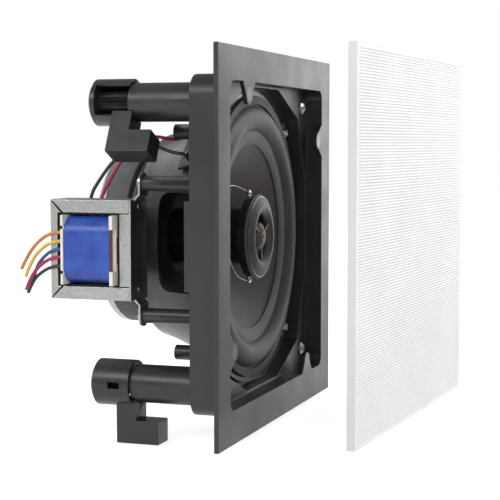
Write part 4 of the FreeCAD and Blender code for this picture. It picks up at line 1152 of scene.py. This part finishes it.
@dataclass(frozen=True)
class Lamp:
    """A soft panel of light aimed at the speaker."""

    name: str
    place: Point  # in metres
    size: Spot  # width and height in metres
    watts: float

    def hang(self) -> None:
        """Put the lamp into the scene."""
        data = bpy.data.lights.new(self.name, "AREA")
        data.shape = "RECTANGLE"
        data.size, data.size_y = self.size
        data.energy = self.watts
        made = linked(self.name, data)
        made.location = self.place
        made.rotation_euler = (-Vector(self.place)).to_track_quat("-Z", "Y").to_euler()


@dataclass
class Studio:
    """Pale floor, soft light and the camera at the photograph's angle."""

    focal_px: float = 1414.76
    picture_px: float = 500.0
    sensor_mm: float = 36.0
    eye: Point = (-799.856, -253.826, 55.734)  # of the camera, in millimetres
    azimuth: float = -71.34  # degrees round the object, from the front
    elevation: float = 4.325  # degrees above the horizon
    floor_level: float = -111.6  # in millimetres
    floor_half: float = 30.0  # of a side, in metres
    floor_glow: float = 0.8  # for the camera and for reflections
    soft: float = 0.34  # strength of the light from all round
    lamps: tuple[Lamp, ...] = (
        Lamp("key", (0.6, -1.5, 1.1), (1.6, 1.2), 32.0),
        Lamp("side", (1.7, -0.55, 0.3), (1.3, 1.6), 14.0),
        Lamp("fill", (-1.37, 0.65, 0.9), (1.8, 0.4), 16.0),
        Lamp("near", (-1.4, -0.8, 0.5), (1.2, 1.0), 6.0),
        Lamp("back", (0.5, 1.5, 1.0), (1.2, 1.0), 8.0),
    )

    def build(self) -> None:
        """Set the stage."""
        bpy.context.scene.view_settings.view_transform = "Standard"
        self.camera()
        self.floor()
        self.world()
        for lamp in self.lamps:
            lamp.hang()

    def camera(self) -> None:
        """Place the camera that took the picture."""
        data = bpy.data.cameras.new("camera")
        data.sensor_width = self.sensor_mm
        data.lens = self.sensor_mm * self.focal_px / self.picture_px
        data.clip_start = 0.01
        made = linked("camera", data)
        turn, rise = math.radians(self.azimuth), math.radians(self.elevation)
        back = Vector((math.sin(turn) * math.cos(rise), -math.cos(turn) * math.cos(rise), math.sin(rise)))
        made.location = Vector(self.eye) * MM
        made.rotation_euler = (-back).to_track_quat("-Z", "Y").to_euler()
        bpy.context.scene.camera = made

    def floor(self) -> None:
        """Lay a wide pale floor that keeps the object's shadow."""
        sheet = Workpiece()
        bmesh.ops.create_grid(sheet.mesh, x_segments=1, y_segments=1, size=self.floor_half,
                              matrix=Matrix.Translation((0, 0, self.floor_level * MM)))
        made = sheet.to_object("floor")
        material = bpy.data.materials.new("pale_floor")
        tree = cleared(material)
        paper = add_node(tree, "ShaderNodeBsdfDiffuse", {"Color": linear("#c8c8c8")})
        glow, dark = (add_node(tree, "ShaderNodeEmission", {"Strength": strength})
                      for strength in (self.floor_glow, 0.0))
        rays = add_node(tree, "ShaderNodeLightPath")
        seen = add_node(tree, "ShaderNodeMath", {"operation": "MAXIMUM"},
                        {0: rays.outputs["Is Camera Ray"], 1: rays.outputs["Is Glossy Ray"]})
        lit = add_node(tree, "ShaderNodeMixShader", None,
                       {0: seen.outputs[0], 1: dark.outputs[0], 2: glow.outputs[0]})
        both = add_node(tree, "ShaderNodeAddShader", None, {0: paper.outputs[0], 1: lit.outputs[0]})
        add_node(tree, "ShaderNodeOutputMaterial", None, {"Surface": both.outputs[0]})
        made.data.materials.append(material)

    def world(self) -> None:
        """Light softly from all round, and show white behind the object."""
        world = bpy.data.worlds.new("studio")
        bpy.context.scene.world = world
        tree = cleared(world)
        rays = add_node(tree, "ShaderNodeLightPath")
        soft, white = (add_node(tree, "ShaderNodeBackground", {"Color": (1, 1, 1, 1), "Strength": strength})
                       for strength in (self.soft, 1.0))
        mixed = add_node(tree, "ShaderNodeMixShader", None,
                         {0: rays.outputs["Is Camera Ray"], 1: soft.outputs[0], 2: white.outputs[0]})
        add_node(tree, "ShaderNodeOutputWorld", None, {"Surface": mixed.outputs[0]})


def main() -> None:
    """Build the speaker and its studio."""
    logging.basicConfig(level=logging.INFO)
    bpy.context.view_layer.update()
    Studio().build()
    for lead in LEADS:
        lead.build()
    BaffleMoulding().build()
    GrillePan().build()
    for number, turn in enumerate(CLAMP_TURNS, 1):
        Clamp(number, turn).build()
    Woofer().build()
    Tweeter().build()
    LineTransformer().build()
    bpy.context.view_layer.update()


if __name__ == "__main__":
    main()
